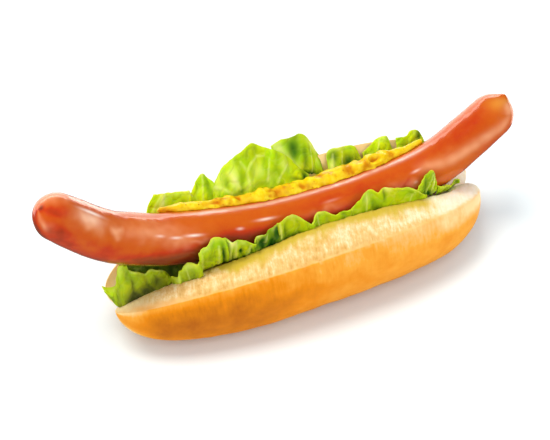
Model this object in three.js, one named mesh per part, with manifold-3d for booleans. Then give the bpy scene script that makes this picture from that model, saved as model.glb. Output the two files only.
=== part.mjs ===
// A hot dog: a soft roll cut from its top and opened on its hinge, a curved sausage, a bead of
// mustard behind it, and lettuce leaves behind and in front.
//
// Millimetres, +Z up. While it is modelled, X runs along the roll, -Y is the front, and the origin
// is the middle of the roll's hinge. The last lines stand the whole on z = 0, its box centred.

import * as THREE from "three";
import Module from "manifold-3d";

// ---- The roll, measured shut, from its hinge ----
const ROLL_LENGTH = 160.5;
const TIP_HEIGHT = 6.5; // the two tips above the hinge
const DOME_HEIGHT = 25.5; // the top of the roll above its tips
const BASE_DEPTH = 16.5; // the flat base below the tips
const CROWN_POWER = 2.0; // an ellipse above the tips
const BASE_POWER = 2.6; // a squarer curve below them
// How blunt each end is, left then right: a higher power keeps its size further towards the tip.
const END_POWERS = { width: [3.0, 4.8], dome: [1.45, 3.15], base: [4.0, 4.0] };
const FRONT_HALF = { side: -1, width: 25, opened: 54.5, bellyEnds: 0.2, bellyMiddle: 0.29 };
const BACK_HALF = { side: 1, width: 26, opened: 50.7, bellyEnds: 0.0, bellyMiddle: 0.0 };
const BELLY_CENTRE = 8; // the cut face bellies out most here, where the sausage sits deepest
const BELLY_SPREAD = 38;
const BELLY_FADE = 8; // the belly fades out towards the left tip; a higher power fades later
const FLOOR = -19.5; // the two lobes are pressed flat at this height
const ROLL_STATIONS = 30;
const CRUST_STEPS = 13;
const FACE_STEPS = 8;

// ---- The sausage ----
// Its centre line and its radius there: [x, y, z, radius], from the left tip to the right.
const SAUSAGE_LINE = [
  [-101.4, 12.1, 58.1, 8.5], [-97, 11.7, 53.6, 9.1], [-89.5, 11.0, 45.4, 9.8], [-81.8, 10.2, 37.4, 10.1],
  [-75.2, 9.5, 31.9, 10.2], [-67.3, 8.7, 27.5, 10.4], [-55.4, 7.7, 22.3, 10.5], [-35.8, 6.2, 16.8, 10.7],
  [-16, 4.9, 12.6, 10.8], [4.7, 4.4, 9.9, 10.8], [25.6, 3.9, 9.8, 10.7], [46.5, 3.6, 12.0, 10.3],
  [57.5, 3.1, 15.0, 9.9], [67.4, 2.5, 20.2, 9.5], [78.2, 1.8, 29.5, 9.3], [88, 1.0, 38.6, 8.9],
  [94.3, 0.5, 44.1, 8.8],
];
const SAUSAGE_CAP = 9.5; // length over which each end rounds off
const SAUSAGE_CAP_STATIONS = 5;
const SAUSAGE_STATIONS = 26; // between the caps
const SAUSAGE_SIDES = 18;
const SLOT_ROOM = 1.95; // what the crumb gives way round the sausage

// ---- The mustard, a lumpy bead in the crease behind the sausage ----
const MUSTARD_SPAN = [-53, 64];
const MUSTARD_OFFSET = { back: 8.7, up: 7.7 }; // its centre from the sausage's
const MUSTARD_RADIUS = 3.7;
const MUSTARD_TAPER = [0.035, 0.05]; // how fast it thins towards its left and right ends
const MUSTARD_LUMPS = [
  { depth: 0.34, length: 17.3, phase: 0.6 },
  { depth: 0.26, length: 8.9, phase: 2.1 },
];
const MUSTARD_STATIONS = 46;
const MUSTARD_SIDES = 9;

// ---- The lettuce: each leaf rises from a root line in the food to its free edge ----
const LEAF_THICKNESS = 0.8;
const LEAF_ROWS = 3;
const BACK_ROOT = [14.6, 13.6]; // y and z of the back leaves' roots, behind the sausage
const LEAVES = [
  {
    name: "lettuce_back_flat", columns: 12, belly: 0.6, ruffle: 0.5, wave: 13, layer: 0,
    root: backRoot(-61, -38),
    edge: [[-50.5, 27, 26.6], [-43.5, 26.3, 25.3], [-36, 25.4, 24]],
  },
  {
    name: "lettuce_back_point", columns: 12, belly: 1.0, ruffle: 0.6, wave: 9, layer: 0,
    root: backRoot(-38, -28),
    edge: [[-35.2, 24.8, 22.8], [-31.8, 27, 26.6], [-28.5, 27.9, 28.2], [-26.6, 26.4, 25.6], [-25.4, 25.4, 24]],
  },
  {
    name: "lettuce_back_large", columns: 22, belly: 1.6, ruffle: 0.9, wave: 15, layer: 0,
    root: backRoot(-28, 12),
    edge: [
      [-24.8, 25.4, 23.8], [-21, 27.4, 27.3], [-16, 28.7, 29.9], [-11.5, 29.7, 31.9],
      [-6.5, 30.4, 33.9], [-2, 29.4, 31], [2.5, 28, 28.2], [8, 25.4, 24], [13, 20, 18],
    ],
  },
  {
    name: "lettuce_back_dark", columns: 18, belly: 0.8, ruffle: 0.8, wave: 11, layer: -2.4,
    root: backRoot(4, 23.5),
    edge: [
      [2, 28.8, 30], [7, 29.2, 30.6], [11, 29, 30.4], [15.4, 29.2, 30.9], [18.5, 28, 28.4],
      [20.6, 25, 23.4], [22.6, 22.6, 19.8],
    ],
  },
  {
    name: "lettuce_back_low", columns: 12, belly: 0.7, ruffle: 0.6, wave: 9, layer: 0,
    root: backRoot(21.5, 38),
    edge: [[24, 22.6, 19.8], [25.8, 24, 21.7], [31, 23.8, 21.5], [35.9, 23.3, 20.7], [37.4, 21.6, 18.7]],
  },
  {
    name: "lettuce_back_fold", columns: 12, belly: 0.8, ruffle: 0.6, wave: 8, layer: 0,
    root: backRoot(38, 52),
    edge: [[39.4, 20.6, 17.4], [43, 21.6, 18.7], [47, 22.9, 20.2], [51, 22.8, 20.1], [51.8, 20.5, 17.4]],
  },
  {
    name: "lettuce_back_knob", columns: 12, belly: 0.6, ruffle: 0.5, wave: 7, layer: 0,
    root: backRoot(52.5, 66),
    edge: [[55, 21.4, 18.5], [60, 21.2, 18], [62.4, 22.1, 19.3], [65.4, 21.5, 18.4], [66.6, 19, 15.8]],
  },
  {
    name: "lettuce_front_left", columns: 26, belly: 0.6, ruffle: 0.8, wave: 10, layer: 0,
    root: [
      [-82, 1.8, 9.9], [-79.9, 0, 5.2], [-77.4, -3, 2.5], [-68.7, -2.2, 2.4], [-60, -0.8, 2.4],
      [-54, -0.9, 4.5],
    ],
    edge: [
      [-82.4, 2.3, 11.9], [-79.4, 2.6, 10.3], [-77, 2.8, 10.8], [-76, 3, 15.5], [-74.9, 3, 21.2],
      [-72, 3, 20.4], [-71, 3, 16.3], [-67.8, 3, 14], [-64.3, 3, 10.6], [-62.8, 3, 12.1],
      [-59.9, 3, 11.2], [-56.7, 3, 8.9], [-55, 2.4, 6.2],
    ],
  },
  {
    name: "lettuce_front_lobe", columns: 12, belly: 1.0, ruffle: 0.9, wave: 8, layer: 0,
    root: [[-56, -1, 4.5], [-49, -1.2, 5], [-43.5, -1.6, 6.4]],
    edge: [[-54, -3, 12], [-51.2, -5, 17], [-48, -6, 19], [-44.6, -6.5, 19]],
  },
  {
    name: "lettuce_front_curl", columns: 12, belly: 2.0, ruffle: 0.8, wave: 7, layer: 0,
    root: [[-44, -1.4, 6], [-38, -3, 8.6], [-32, -4.6, 10.8]],
    edge: [[-44.6, -6, 23], [-42.3, -5, 25.2], [-39.5, -4.3, 25.9], [-36.1, -3.4, 26.3], [-32.6, -3.8, 25.4]],
  },
  {
    name: "lettuce_front_pale", columns: 12, belly: 0.8, ruffle: 0.8, wave: 8, layer: 0,
    root: [[-33, -4.4, 10.8], [-26, -6, 11.8], [-20.5, -6.5, 12]],
    edge: [[-32.6, -4.1, 25], [-28.3, -5.4, 22.9], [-24.7, -6.1, 21.3], [-20.9, -6.9, 19.8]],
  },
  {
    name: "lettuce_front_dark", columns: 12, belly: 0.8, ruffle: 0.9, wave: 6, layer: 0,
    root: [[-21.5, -6.5, 12], [-15, -6.9, 11.8], [-9.5, -7.1, 11.3]],
    edge: [[-21, -6.7, 19.9], [-17.9, -5.6, 21.4], [-14.9, -5.3, 21.3], [-9.6, -3.4, 22.6]],
  },
  {
    name: "lettuce_front_wave", columns: 24, belly: 0.8, ruffle: 1.0, wave: 11, layer: 0,
    root: [[-10, -7, 10], [5, -7.3, 8.6], [22, -7.7, 8.4]],
    edge: [
      [-10.2, -3.4, 22.6], [-6.5, -2.4, 22.9], [-2.3, -2.6, 22.4], [0.7, -3.9, 21], [3.6, -5.6, 19.1],
      [8.1, -4.1, 20.5], [11.1, -4.2, 20.4], [15, -5.8, 18.9], [22.2, -6.6, 18.4],
    ],
  },
  {
    name: "lettuce_front_smooth", columns: 22, belly: 0.9, ruffle: 0.9, wave: 12, layer: 0,
    root: [[21, -7.7, 8.4], [35, -7.8, 9.4], [50, -7.6, 11]],
    edge: [
      [21.8, -6.4, 18.4], [26.9, -3.6, 21.2], [29.5, -2.6, 22], [32.3, -2.9, 22.1], [34, -4.4, 21.4],
      [37.6, -3.6, 22.4], [40.2, -4.5, 22], [43.9, -6, 21.1], [49.6, -7.5, 20.4],
    ],
  },
  {
    name: "lettuce_front_spike", columns: 12, belly: 0.7, ruffle: 0.6, wave: 8, layer: 0,
    root: [[49, -7.8, 12], [55, -7.6, 12.4], [60.5, -7.1, 12.4]],
    edge: [[50, -7.5, 20.6], [53.2, -6.4, 23], [56.8, -5.2, 25.3], [58.6, -5.9, 24.8], [60, -7.6, 18.6]],
  },
  {
    name: "lettuce_front_end", columns: 12, belly: 0.4, ruffle: 0.5, wave: 6, layer: 0,
    root: [[61, -6.1, 9.4], [67, -4, 7.4], [74, -1.8, 7]],
    edge: [[61.3, -8.1, 17], [64, -8.4, 14.6], [68, -4.9, 11.2], [73.5, -1.6, 10.4]],
  },
  {
    name: "lettuce_under", columns: 16, belly: 0.3, ruffle: 0.5, wave: 9, layer: 0,
    root: [[-72, 2.4, 5], [-62, 1.6, 4], [-46, 1.6, 3.4]],
    edge: [[-71.5, 9.5, 14], [-66, 10.5, 14], [-58, 10.5, 12.3], [-46, 7.8, 8]],
  },
];

// ---- Gaps ----
const CLEARANCE = 0.35; // between pieces that touch
const LEAF_GAP = 0.45; // between a leaf and the next
const SMALLEST_PIECE = 20; // mm3; a leaf's loose scraps are smaller

const manifoldLibrary = await Module();
manifoldLibrary.setup();
const { Manifold, Mesh: SolidMesh } = manifoldLibrary;

/** Root line of a leaf at the back, from one place along the roll to another. */
function backRoot(from, to) {
  const [y, z] = BACK_ROOT;
  return [[from, y, z], [(from + to) / 2, y, z], [to, y, z]];
}

/** A smooth line through points given as [x, y, z]. */
function lineThrough(points) {
  const places = points.map(([x, y, z]) => new THREE.Vector3(x, y, z));
  return new THREE.CatmullRomCurve3(places, false, "centripetal");
}

/** A solid from points and triangles, turned so that its faces point out. */
function solidOf(points, faces) {
  const volume = faces.reduce((sum, [a, b, c]) => {
    const normal = new THREE.Vector3().crossVectors(points[b], points[c]);
    return sum + points[a].dot(normal);
  }, 0);
  const outward = volume > 0 ? faces : faces.map(([a, b, c]) => [a, c, b]);
  return new Manifold(new SolidMesh({
    numProp: 3,
    vertProperties: new Float32Array(points.flatMap((p) => [p.x, p.y, p.z])),
    triVerts: new Uint32Array(outward.flat()),
  }));
}

/** Skins a row of closed rings into a solid. Each end closes on the middle of its last ring. */
function skin(rings) {
  const sides = rings[0].length;
  const points = rings.flat();
  const faces = [];
  for (let row = 0; row < rings.length - 1; row += 1) {
    for (let side = 0; side < sides; side += 1) {
      const a = row * sides + side;
      const b = row * sides + (side + 1) % sides;
      faces.push([a, b, a + sides], [b, b + sides, a + sides]);
    }
  }
  const ends = [{ row: 0, turned: false }, { row: rings.length - 1, turned: true }];
  for (const { row, turned } of ends) {
    const middle = new THREE.Vector3();
    rings[row].forEach((p) => middle.addScaledVector(p, 1 / sides));
    const tip = points.push(middle) - 1;
    for (let side = 0; side < sides; side += 1) {
      const a = row * sides + side;
      const b = row * sides + (side + 1) % sides;
      faces.push(turned ? [tip, a, b] : [tip, b, a]);
    }
  }
  return solidOf(points, faces);
}

/** How much of the roll's full size is left at x, from 1 at the middle to 0 at a tip. */
function endTaper(x, [left, right]) {
  const reach = Math.min(1, Math.abs((2 * x) / ROLL_LENGTH));
  return Math.sqrt(1 - reach ** (x < 0 ? left : right));
}

/** One half's section at x, shut: crust from the base to the top, then the cut face back down. */
function halfSection(half, x, grow) {
  const width = half.width * endTaper(x, END_POWERS.width);
  const dome = DOME_HEIGHT * endTaper(x, END_POWERS.dome);
  const base = BASE_DEPTH * endTaper(x, END_POWERS.base);
  const section = [];
  for (let step = 0; step <= CRUST_STEPS; step += 1) {
    const angle = Math.PI * (step / CRUST_STEPS - 0.5);
    const above = angle >= 0;
    const power = 2 / (above ? CROWN_POWER : BASE_POWER);
    const out = (width + grow) * Math.cos(angle) ** power;
    const rise = Math.abs(Math.sin(angle)) ** power;
    section.push([out, TIP_HEIGHT + (above ? (dome + grow) * rise : -(base + grow) * rise)]);
  }
  const top = TIP_HEIGHT + dome + grow;
  const bottom = TIP_HEIGHT - base - grow;
  const rootHeight = Math.max(0, bottom);
  const swell = Math.exp(-(((x - BELLY_CENTRE) / BELLY_SPREAD) ** 2));
  const fade = x < 0 ? 1 - Math.abs((2 * x) / ROLL_LENGTH) ** BELLY_FADE : 1;
  const fullness = (half.bellyEnds + (half.bellyMiddle - half.bellyEnds) * swell) * Math.max(0, fade);
  for (let step = 1; step < FACE_STEPS; step += 1) {
    const height = THREE.MathUtils.lerp(top, rootHeight, step / FACE_STEPS);
    const part = 1 - step / FACE_STEPS;
    const belly = fullness * (top - rootHeight) * 4 * part * (1 - part);
    section.push([-belly - grow, height]);
  }
  section.push([-grow, THREE.MathUtils.lerp(rootHeight, bottom, 0.5)]);
  return section;
}

/** One half of the roll, swung open about the hinge. */
function openedHalf(half, grow) {
  const angle = THREE.MathUtils.degToRad(half.opened);
  const rings = [];
  for (let station = 1; station < ROLL_STATIONS; station += 1) {
    const x = (ROLL_LENGTH / 2 + grow) * -Math.cos((Math.PI * station) / ROLL_STATIONS);
    rings.push(halfSection(half, x, grow).map(([out, up]) => new THREE.Vector3(
      x,
      half.side * (out * Math.cos(angle) + up * Math.sin(angle)),
      up * Math.cos(angle) - out * Math.sin(angle),
    )));
  }
  return skin(rings);
}

/** The sausage's radius at a place along the roll. */
function sausageRadiusAt(x) {
  const next = SAUSAGE_LINE.findIndex(([place]) => place >= x);
  if (next < 1) return SAUSAGE_LINE.at(next)[3];
  const [from, , , before] = SAUSAGE_LINE[next - 1];
  const [to, , , after] = SAUSAGE_LINE[next];
  return THREE.MathUtils.mapLinear(x, from, to, before, after);
}

/** The sausage, a round tube with rounded ends along its line, grown all round. */
function sausageTube(grow) {
  const line = lineThrough(SAUSAGE_LINE);
  const length = line.getLength();
  const cap = SAUSAGE_CAP / length;
  const places = [];
  for (let station = 1; station <= SAUSAGE_CAP_STATIONS; station += 1) {
    const short = Math.cos((0.5 * Math.PI * station) / SAUSAGE_CAP_STATIONS);
    places.push({ along: cap * (1 - short), round: Math.sqrt(1 - short ** 2) });
  }
  for (let station = 1; station < SAUSAGE_STATIONS; station += 1) {
    places.push({ along: THREE.MathUtils.lerp(cap, 1 - cap, station / SAUSAGE_STATIONS), round: 1 });
  }
  for (let station = SAUSAGE_CAP_STATIONS; station >= 1; station -= 1) {
    const { along, round } = places[station - 1];
    places.push({ along: 1 - along, round });
  }
  return skin(places.map(({ along, round }) => {
    const centre = line.getPointAt(along);
    const forward = line.getTangentAt(along);
    const side = new THREE.Vector3(0, 1, 0).cross(forward).normalize();
    const up = forward.clone().cross(side);
    const radius = (sausageRadiusAt(centre.x) + grow) * round;
    centre.addScaledVector(forward, Math.sign(along - 0.5) * grow * (1 - round));
    return circleRing(centre, side, up, radius, SAUSAGE_SIDES);
  }));
}

/** A ring of points round a centre. */
function circleRing(centre, across, up, radius, sides) {
  return Array.from({ length: sides }, (_, index) => {
    const angle = (2 * Math.PI * index) / sides;
    return centre.clone()
      .addScaledVector(across, radius * Math.cos(angle))
      .addScaledVector(up, radius * Math.sin(angle));
  });
}

/** The roll: both halves joined, pressed out by the sausage and flat where the lobes rest. */
function makeBun(grow) {
  const halves = openedHalf(FRONT_HALF, grow).add(openedHalf(BACK_HALF, grow));
  const slot = sausageTube(SLOT_ROOM - grow);
  return halves.subtract(slot).trimByPlane([0, 0, 1], FLOOR - grow);
}

/** The sausage's centre where it crosses a place along the roll. */
function sausageCentreAt(x) {
  const line = lineThrough(SAUSAGE_LINE);
  let low = 0;
  let high = 1;
  for (let turn = 0; turn < 30; turn += 1) {
    const middle = (low + high) / 2;
    if (line.getPointAt(middle).x < x) low = middle;
    else high = middle;
  }
  return line.getPointAt(low);
}

/** The bead of mustard, before the sausage is cut from it. */
function mustardBead(grow) {
  const [from, to] = MUSTARD_SPAN;
  const rings = [];
  for (let station = 1; station < MUSTARD_STATIONS; station += 1) {
    const x = THREE.MathUtils.lerp(from, to, 0.5 - 0.5 * Math.cos((Math.PI * station) / MUSTARD_STATIONS));
    const thin = (1 - Math.exp(-(x - from) * MUSTARD_TAPER[0] * 2))
      * (1 - Math.exp(-(to - x) * MUSTARD_TAPER[1] * 2));
    const lumps = MUSTARD_LUMPS.reduce(
      (sum, lump) => sum + lump.depth * Math.sin((2 * Math.PI * x) / lump.length + lump.phase),
      0,
    );
    const radius = MUSTARD_RADIUS * Math.sqrt(thin) + lumps * thin + grow;
    const centre = sausageCentreAt(x);
    centre.y += MUSTARD_OFFSET.back;
    centre.z += MUSTARD_OFFSET.up;
    rings.push(circleRing(centre, new THREE.Vector3(0, 1, 0), new THREE.Vector3(0, 0, 1), radius, MUSTARD_SIDES));
  }
  return skin(rings);
}

/** A leaf: a wavy sheet of even thickness from its root line to its free edge, grown all round. */
function leafSheet(leaf, grow) {
  const thickness = LEAF_THICKNESS + 2 * grow;
  const root = lineThrough(leaf.root);
  const edge = lineThrough(leaf.edge);
  const rows = LEAF_ROWS;
  const middle = [];
  for (let column = 0; column <= leaf.columns; column += 1) {
    const along = column / leaf.columns;
    const foot = root.getPointAt(along);
    const tip = edge.getPointAt(along);
    const rise = tip.clone().sub(foot).normalize();
    const face = new THREE.Vector3(1, 0, 0).cross(rise).normalize(); // towards the front
    const wave = Math.sin((2 * Math.PI * tip.x) / leaf.wave);
    const line = [];
    for (let row = 0; row <= rows; row += 1) {
      const up = row / rows;
      const out = leaf.belly * 4 * up * (1 - up) + leaf.ruffle * wave * up ** 2 + leaf.layer;
      line.push(foot.clone().lerp(tip, up).addScaledVector(face, out));
    }
    middle.push(line);
  }
  stretchRim(middle, grow);
  const points = [];
  const across = (rows + 1) * (leaf.columns + 1);
  const at = (column, row, sheet) => sheet * across + column * (rows + 1) + row;
  for (const sheet of [0.5, -0.5]) {
    for (let column = 0; column <= leaf.columns; column += 1) {
      for (let row = 0; row <= rows; row += 1) {
        const normal = sheetNormal(middle, column, row);
        points.push(middle[column][row].clone().addScaledVector(normal, sheet * thickness));
      }
    }
  }
  const faces = [];
  for (let column = 0; column < leaf.columns; column += 1) {
    for (let row = 0; row < rows; row += 1) {
      for (const sheet of [0, 1]) {
        const corners = [
          at(column, row, sheet), at(column + 1, row, sheet),
          at(column + 1, row + 1, sheet), at(column, row + 1, sheet),
        ];
        const [a, b, c, d] = sheet ? corners : [corners[0], corners[3], corners[2], corners[1]];
        faces.push(...(sheet ? [[a, b, c], [a, c, d]] : [[a, c, d], [a, b, c]]));
      }
    }
  }
  const rim = [];
  for (let column = 0; column < leaf.columns; column += 1) rim.push([column, 0]);
  for (let row = 0; row < rows; row += 1) rim.push([leaf.columns, row]);
  for (let column = leaf.columns; column > 0; column -= 1) rim.push([column, rows]);
  for (let row = rows; row > 0; row -= 1) rim.push([0, row]);
  rim.forEach(([column, row], index) => {
    const [nextColumn, nextRow] = rim[(index + 1) % rim.length];
    const a = at(column, row, 0);
    const b = at(nextColumn, nextRow, 0);
    faces.push([a, b, b + across], [a, b + across, a + across]);
  });
  return solidOf(points, faces);
}

/** Moves the rim of a grid of points outwards. */
function stretchRim(grid, distance) {
  const away = (from, to) => to.clone().sub(from).normalize().multiplyScalar(distance);
  const lastColumn = grid.length - 1;
  const lastRow = grid[0].length - 1;
  for (const line of grid) {
    line[0].add(away(line[1], line[0]));
    line[lastRow].add(away(line[lastRow - 1], line[lastRow]));
  }
  for (let row = 0; row <= lastRow; row += 1) {
    grid[0][row].add(away(grid[1][row], grid[0][row]));
    grid[lastColumn][row].add(away(grid[lastColumn - 1][row], grid[lastColumn][row]));
  }
}

/** The sheet's direction of thickness at one of its points. */
function sheetNormal(middle, column, row) {
  const clampColumn = (value) => THREE.MathUtils.clamp(value, 0, middle.length - 1);
  const clampRow = (value) => THREE.MathUtils.clamp(value, 0, middle[0].length - 1);
  const along = middle[clampColumn(column + 1)][row].clone().sub(middle[clampColumn(column - 1)][row]);
  const upward = middle[column][clampRow(row + 1)].clone().sub(middle[column][clampRow(row - 1)]);
  return along.cross(upward).normalize();
}

/** The largest piece of a solid, without the scraps that a cut leaves. */
function largestPiece(solid) {
  const pieces = solid.decompose().filter((piece) => piece.volume() > SMALLEST_PIECE);
  return pieces.reduce((best, piece) => (piece.volume() > best.volume() ? piece : best));
}

/** A named, coloured piece. */
function piece(name, solid, color, roughness) {
  const { vertProperties, triVerts } = solid.getMesh();
  const geometry = new THREE.BufferGeometry();
  geometry.setAttribute("position", new THREE.BufferAttribute(new Float32Array(vertProperties), 3));
  geometry.setIndex(new THREE.BufferAttribute(new Uint32Array(triVerts), 1));
  const material = new THREE.MeshStandardMaterial({ color, roughness, metalness: 0 });
  const mesh = new THREE.Mesh(geometry, material);
  mesh.name = name;
  return mesh;
}

const sausage = sausageTube(0);
const sausageRoom = sausageTube(CLEARANCE);
const bunRoom = makeBun(CLEARANCE);
const mustard = largestPiece(mustardBead(0).subtract(sausageRoom).subtract(bunRoom));
const mustardRoom = mustardBead(CLEARANCE);

const food = new THREE.Group();
food.add(piece("bun", makeBun(0), 0xd9943f, 0.6));
food.add(piece("sausage", sausage, 0xc9561f, 0.25));
food.add(piece("mustard", mustard, 0xe8b818, 0.4));
let taken = sausageRoom.add(mustardRoom).add(bunRoom);
for (const leaf of LEAVES) {
  const solid = largestPiece(leafSheet(leaf, 0).subtract(taken));
  taken = taken.add(leafSheet(leaf, LEAF_GAP));
  food.add(piece(leaf.name, solid, 0x9bc022, 0.5));
}

const box = new THREE.Box3().setFromObject(food);
const centre = box.getCenter(new THREE.Vector3());
food.position.set(-centre.x, -centre.y, -box.min.z);

const group = new THREE.Group();
group.add(food);
export default group;
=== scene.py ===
"""The looks of a hot dog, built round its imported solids.

A soft wheat roll lies opened on its hinge. A long curved frankfurter rests in it, with a bead of grainy
mustard in the crease behind it and leaves of green lettuce behind and in front.

Sizes are millimetres in the hinge frame: X runs along the roll, -Y is the front, +Z is up, and the origin
is the middle of the roll's hinge. `Frame` turns them to metres in the row frame, where every mesh is made.
Turns round a piece are degrees, strengths and shares run from 0 to 1, and each noise has its own seed.
"""

from __future__ import annotations

import logging
import math
from dataclasses import dataclass, field
from enum import Enum

import bpy
import numpy as np
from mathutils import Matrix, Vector

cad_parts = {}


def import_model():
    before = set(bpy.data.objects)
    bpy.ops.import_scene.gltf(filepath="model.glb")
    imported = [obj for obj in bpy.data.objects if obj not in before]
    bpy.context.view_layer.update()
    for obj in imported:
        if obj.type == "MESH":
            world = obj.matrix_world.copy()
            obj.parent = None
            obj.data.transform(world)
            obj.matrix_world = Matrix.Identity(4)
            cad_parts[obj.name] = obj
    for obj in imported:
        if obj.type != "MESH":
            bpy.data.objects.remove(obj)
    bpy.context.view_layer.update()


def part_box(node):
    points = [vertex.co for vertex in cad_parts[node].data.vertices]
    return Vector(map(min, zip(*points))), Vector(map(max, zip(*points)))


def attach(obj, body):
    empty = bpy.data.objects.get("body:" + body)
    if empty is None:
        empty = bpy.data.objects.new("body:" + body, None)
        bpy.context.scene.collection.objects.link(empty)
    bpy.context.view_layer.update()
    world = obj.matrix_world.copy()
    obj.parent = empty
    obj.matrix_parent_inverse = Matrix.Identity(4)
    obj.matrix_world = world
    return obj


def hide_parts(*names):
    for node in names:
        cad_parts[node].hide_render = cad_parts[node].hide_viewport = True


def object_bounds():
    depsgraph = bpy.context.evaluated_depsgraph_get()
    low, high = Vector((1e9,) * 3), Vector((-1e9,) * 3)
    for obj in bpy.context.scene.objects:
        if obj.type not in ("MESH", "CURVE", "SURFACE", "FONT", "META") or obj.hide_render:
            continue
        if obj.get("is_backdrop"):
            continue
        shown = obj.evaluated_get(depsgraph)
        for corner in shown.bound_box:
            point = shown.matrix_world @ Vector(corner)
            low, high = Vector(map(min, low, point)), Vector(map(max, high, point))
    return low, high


log = logging.getLogger("hot_dog")

MM = 0.001
SHORTEST = 1e-9  # guards a division
CELL_PRIMES = (73856093, 19349663, 83492791)  # these and the next two lines scramble a cell of the noise
SEED_PRIME = 2654435761
SCRAMBLE, SHIFT, LOW_BITS = 1103515245, 12345, 0x7FFFFFFF
SLOPES = 4096  # angles, and heights, that a slope of the noise can take

Array = np.ndarray
Point = tuple[float, float, float]
Table = tuple[tuple[float, float], ...]  # places along the roll, each with a value
Patches = tuple[tuple[float, float, float, float, float], ...]
Marks = dict[str, Array]
Look = dict[str, object]
Tree, Socket, Thing = bpy.types.NodeTree, bpy.types.NodeSocket, bpy.types.Object


# ---- Small tools ----


def linear(hex_code: str) -> tuple[float, float, float, float]:
    """Turns an sRGB colour to linear light.

    Args:
        hex_code: six hex digits after a hash sign.

    Returns:
        Red, green, blue and a full alpha.
    """
    channels = [int(hex_code[i : i + 2], 16) / 255 for i in (1, 3, 5)]
    red, green, blue = (c / 12.92 if c <= 0.04045 else ((c + 0.055) / 1.055) ** 2.4 for c in channels)
    return red, green, blue, 1.0


def ease(low: float | Array, high: float | Array, value: Array) -> Array:
    """Rises smoothly from 0 at low to 1 at high."""
    part = np.clip((value - low) / (high - low), 0, 1)
    return part * part * (3 - 2 * part)


def bell(value: Array, centre: float | Array, spread: float) -> Array:
    """A bump of height 1 round a centre."""
    return np.exp(-(((value - centre) / spread) ** 2))


def near(points: Array, centre: Point, reach: float) -> Array:
    """A bump of height 1 round a place in space."""
    return bell(np.linalg.norm(points - np.array(centre), axis=-1), 0, reach)


def read(table: Table, x: Array) -> Array:
    """Reads a table at places along the roll."""
    return np.interp(x, *zip(*table))


def unit(vectors: Array) -> Array:
    """Vectors scaled to length 1."""
    return vectors / np.maximum(np.linalg.norm(vectors, axis=-1, keepdims=True), SHORTEST)


def patches(along: Array, across: Array, given: Patches) -> Array:
    """Soft-edged patches on a surface.

    Args:
        along: the first coordinate of each place.
        across: the second.
        given: each patch's centre, its half sizes both ways and its strength.

    Returns:
        The strongest patch at each place.
    """
    found = np.zeros(np.broadcast(along, across).shape)
    for at_along, at_across, long, wide, strength in given:
        away = ((along - at_along) / long) ** 2 + ((across - at_across) / wide) ** 2
        found = np.maximum(found, strength * np.exp(-away))
    return found


def noise(points: Array, cell: float | Point, seed: int) -> Array:
    """Smooth gradient noise.

    Args:
        points: places, with the last axis holding x, y and z.
        cell: the size of one cell, or its size along each axis.
        seed: picks the pattern.

    Returns:
        Values from about -1 to 1.
    """
    scaled = points / np.asarray(cell, float) + 7.31 * (seed + 1)
    base = np.floor(scaled).astype(np.int64)
    part = scaled - base
    fade = part**3 * (part * (part * 6 - 15) + 10)
    total = np.zeros(points.shape[:-1])
    for corner in np.ndindex(2, 2, 2):
        code = np.bitwise_xor.reduce((base + corner) * CELL_PRIMES, -1) ^ (seed * SEED_PRIME)
        code = ((code & LOW_BITS) * SCRAMBLE + SHIFT) & LOW_BITS
        angle = (code % SLOPES) * (2 * math.pi / SLOPES)
        height = (code // SLOPES % SLOPES) * 2 / (SLOPES - 1) - 1
        flat = np.sqrt(np.maximum(0, 1 - height**2))
        slope = np.stack([flat * np.cos(angle), flat * np.sin(angle), height], -1)
        total += np.where(corner, fade, 1 - fade).prod(-1) * ((part - corner) * slope).sum(-1)
    return total * 1.6


def rough_noise(points: Array, cell: float, seed: int, octaves: int = 3) -> Array:
    """Noise with finer noise on it, each octave half the size and half as strong."""
    return sum(noise(points, cell / 2**n, seed + n) / 2**n for n in range(octaves))


class Line:
    """A smooth line through points, read by its length: a centripetal Catmull-Rom curve."""

    FINE_STEPS = 24  # samples on each stretch between two points
    GLANCE = 0.004  # share of the length, to each side, that a direction is read over

    def __init__(self, points: tuple[Point, ...]) -> None:
        """Fits the curve.

        Args:
            points: the points that it runs through.
        """
        given = np.asarray(points, float)
        knots = np.vstack([2 * given[0] - given[1], given, 2 * given[-1] - given[-2]])
        t = np.arange(self.FINE_STEPS)[:, None] / self.FINE_STEPS
        samples = []
        for index in range(len(given) - 1):
            p0, p1, p2, p3 = knots[index : index + 4]
            gaps = np.linalg.norm(np.diff(knots[index : index + 4], axis=0), axis=1) ** 0.5
            d0, d1, d2 = np.maximum(gaps, SHORTEST)
            leave = ((p1 - p0) / d0 - (p2 - p0) / (d0 + d1) + (p2 - p1) / d1) * d1
            arrive = ((p2 - p1) / d1 - (p3 - p1) / (d1 + d2) + (p3 - p2) / d2) * d1
            bend = 3 * (p2 - p1) - 2 * leave - arrive
            twist = 2 * (p1 - p2) + leave + arrive
            samples.append(p1 + leave * t + bend * t**2 + twist * t**3)
        self.samples = np.vstack([*samples, given[-1:]])
        steps = np.linalg.norm(np.diff(self.samples, axis=0), axis=1)
        self.lengths = np.concatenate([[0], np.cumsum(steps)])
        self.length = float(self.lengths[-1])

    def at(self, share: Array) -> Array:
        """Points at shares of the line's length."""
        target = np.asarray(share) * self.length
        return np.stack([np.interp(target, self.lengths, values) for values in self.samples.T], -1)

    def direction(self, share: Array) -> Array:
        """The way the line runs at shares of its length."""
        behind, ahead = (self.at(np.clip(share + way, 0, 1)) for way in (-self.GLANCE, self.GLANCE))
        return unit(ahead - behind)

    def at_x(self, x: Array) -> Array:
        """Points of the line at places along X. X rises along the line."""
        along, *others = self.samples.T
        return np.stack([x, *(np.interp(x, along, values) for values in others)], -1)


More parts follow.
